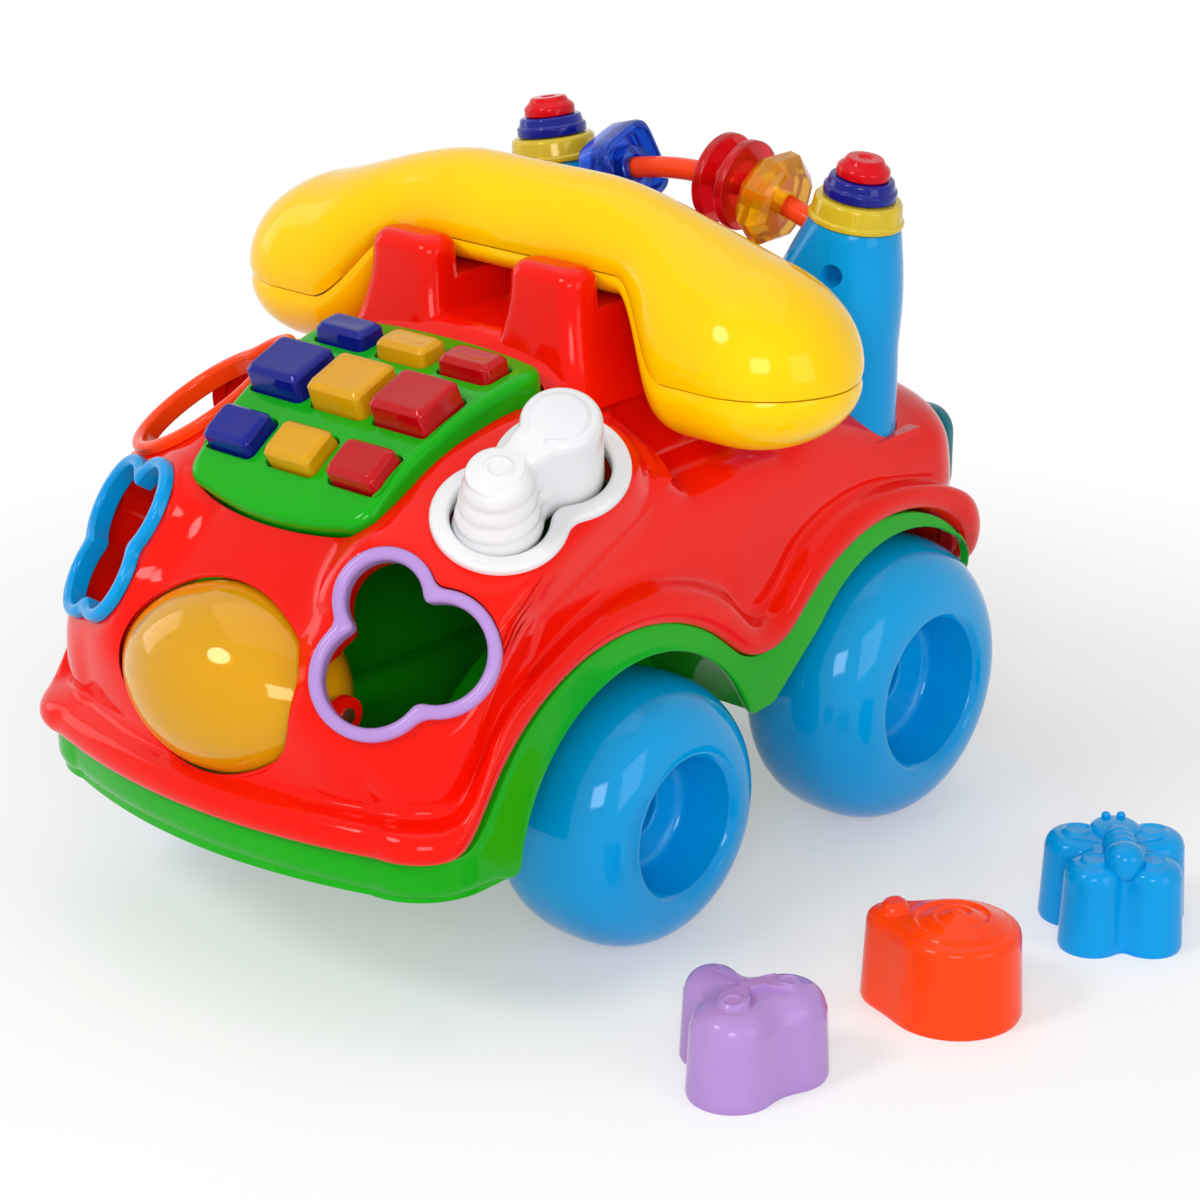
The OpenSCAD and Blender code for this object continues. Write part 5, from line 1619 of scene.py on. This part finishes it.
FLOOR_T, WELL_X, FAR_X, TUB_IN, ROOM_IN = 3, 51, 130, 1.4, 4.4
AXLE_R, BEARING_X, BEARING_HALF, BEARING_LOW, BEARING_R = 3.1, (40, 51), 9, 7, 6
y0, y1 = front_y(PLAN_Z) - 20, REAR_Y + 20
ys = np.linspace(y0, y1, 160)
under = np.concatenate([np.column_stack([ys, lip_z(ys) - LIP_GAP - 1.2]), [(y1, 20), (y0, 20)]])
tub = object_of("tub", plan_prism(OUT - TUB_IN, SKIRT_Z + 1, 150))
combine(tub, side_prism(under, (-FAR_X, FAR_X)), "INTERSECT")
rooms = [
    object_of("inside_top", plan_prism(OUT - ROOM_IN, FLOOR_Z, 170)),
    object_of("inside_low", plan_prism(OUT - ROOM_IN, SKIRT_Z - FLOOR_T, FLOOR_Z - FLOOR_T)),
]
tip = low_edge[(low_edge[:, 0] > s_at(-24)) & (low_edge[:, 0] < s_at(24))] - (SIDE_S, -1.0)
for side in (-1, 1):
    for y, z, r in WELLS.values():
        combine(tub, along_x(r, *on_side(side, WELL_X, FAR_X), y, z), "DIFFERENCE")
        for room in rooms:
            span = on_side(side, WELL_X - FLOOR_T, FAR_X + 1)
            combine(room, along_x(r + FLOOR_T, *span, y, z), "DIFFERENCE")
    for wall, solids in ((0, [tub]), (FLOOR_T, rooms)):
        span = on_side(side, WELL_X - wall, FAR_X + wall)
        under_tip = np.concatenate([tip + (0, wall), [(y, SKIRT_Z - 8) for y in (tip[-1, 0], tip[0, 0])]])
        for solid in solids:
            between = block_of(*span, front_axle_y, rear_axle_y, SKIRT_Z - 5 - wall, TIP_Z + 1 + wall)
            combine(solid, between, "DIFFERENCE")
            combine(solid, side_prism(under_tip, span), "DIFFERENCE")
for room in rooms:
    combine(tub, room, "DIFFERENCE")
for side in (-1, 1):
    for y, z, _ in WHEELS.values():
        first, last = y - BEARING_HALF, y + BEARING_HALF
        low, top = z - BEARING_LOW, FLOOR_Z - FLOOR_T / 2
        bearing = soften([
            (first, low, BEARING_R), (last, low, BEARING_R), (last, top, 0), (first, top, 0),
        ], 6)
        combine(tub, side_prism(bearing, [side * x for x in BEARING_X]), "UNION")
for y, z, _ in WHEELS.values():
    combine(tub, along_x(AXLE_R, -FAR_X, FAR_X, y, z, 40), "DIFFERENCE")
combine(band, tub, "UNION")
finished(band, "chassis_green", "car", ["lower_chassis"], 32)

# %% [markdown]
# ## Rear hatch
# The hatch at the back swings down on a pin and lets the blocks out. It is a rounded slab with a soft edge,
# a sunk panel and a barrel along its lower edge. The photograph shows only one edge of it, so it is plain.

# %% Hatch
SLAB_HALF, SLAB_Z0, SLAB_Z1, SLAB_R = 72, 103, 139, 10
BARREL_R, BARREL_HALF, PIN_BORE = 4.48, 60, 2.1
# Distance in from the outline and place along the body, from the inner face to the sunk panel.
SLAB_ROWS = (
    (3, 115.2), (0.8, 115.25), (0, 116.2), (0, 119.4), (0.6, 120.7), (2.2, 121.2), (6, 121.2),
    (7, 120.9), (8, 120.0), (9, 119.7),
)
slab = rear_box(SLAB_HALF, SLAB_Z0, SLAB_Z1, SLAB_R, 10)
hatch = object_of("hatch_door", skin([rear_ring(inset(slab, away), y) for away, y in SLAB_ROWS]))
barrel_path = soften([
    (0.05, -BARREL_HALF, 0), (BARREL_R, -BARREL_HALF, 0.8),
    (BARREL_R, BARREL_HALF, 0.8), (0.05, BARREL_HALF, 0),
], 4, closed=False)
barrel = lathe(barrel_path, 48, wrap=False)
combine(hatch, put(barrel, move(0, HINGE_Y, HINGE_Z) @ turn("y", 90)), "UNION")
combine(hatch, along_x(PIN_BORE, -90, 90, HINGE_Y, HINGE_Z, 40), "DIFFERENCE")
# The hatch's finish is teal-blue darkened by painted shade.
finished(hatch, "hatch_teal", "hatch", ["rear_hatch"], 40)

# %% [markdown]
# ## Steel and hidden parts
# The axles, pins and screws, and the plate under the keys, have the right shape already. They stay as CAD
# nodes and only get their finish.

# %% Finishes of the CAD nodes that stay
STAY = {node: "steel" for node in (
    "chassis_screws", "keypad_screws", "handset_screws", "post_screws",
    "roller_pin", "front_axle_rod", "rear_axle_rod", "hatch_pin",
)} | {"key_return_plate": "inner_grey"}
for node, finish in STAY.items():
    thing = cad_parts[node]
    thing.data.materials.clear()
    thing.data.materials.append(FINISH[finish])
print("kept CAD nodes:", len(STAY))

# %% Sizes
low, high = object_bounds()
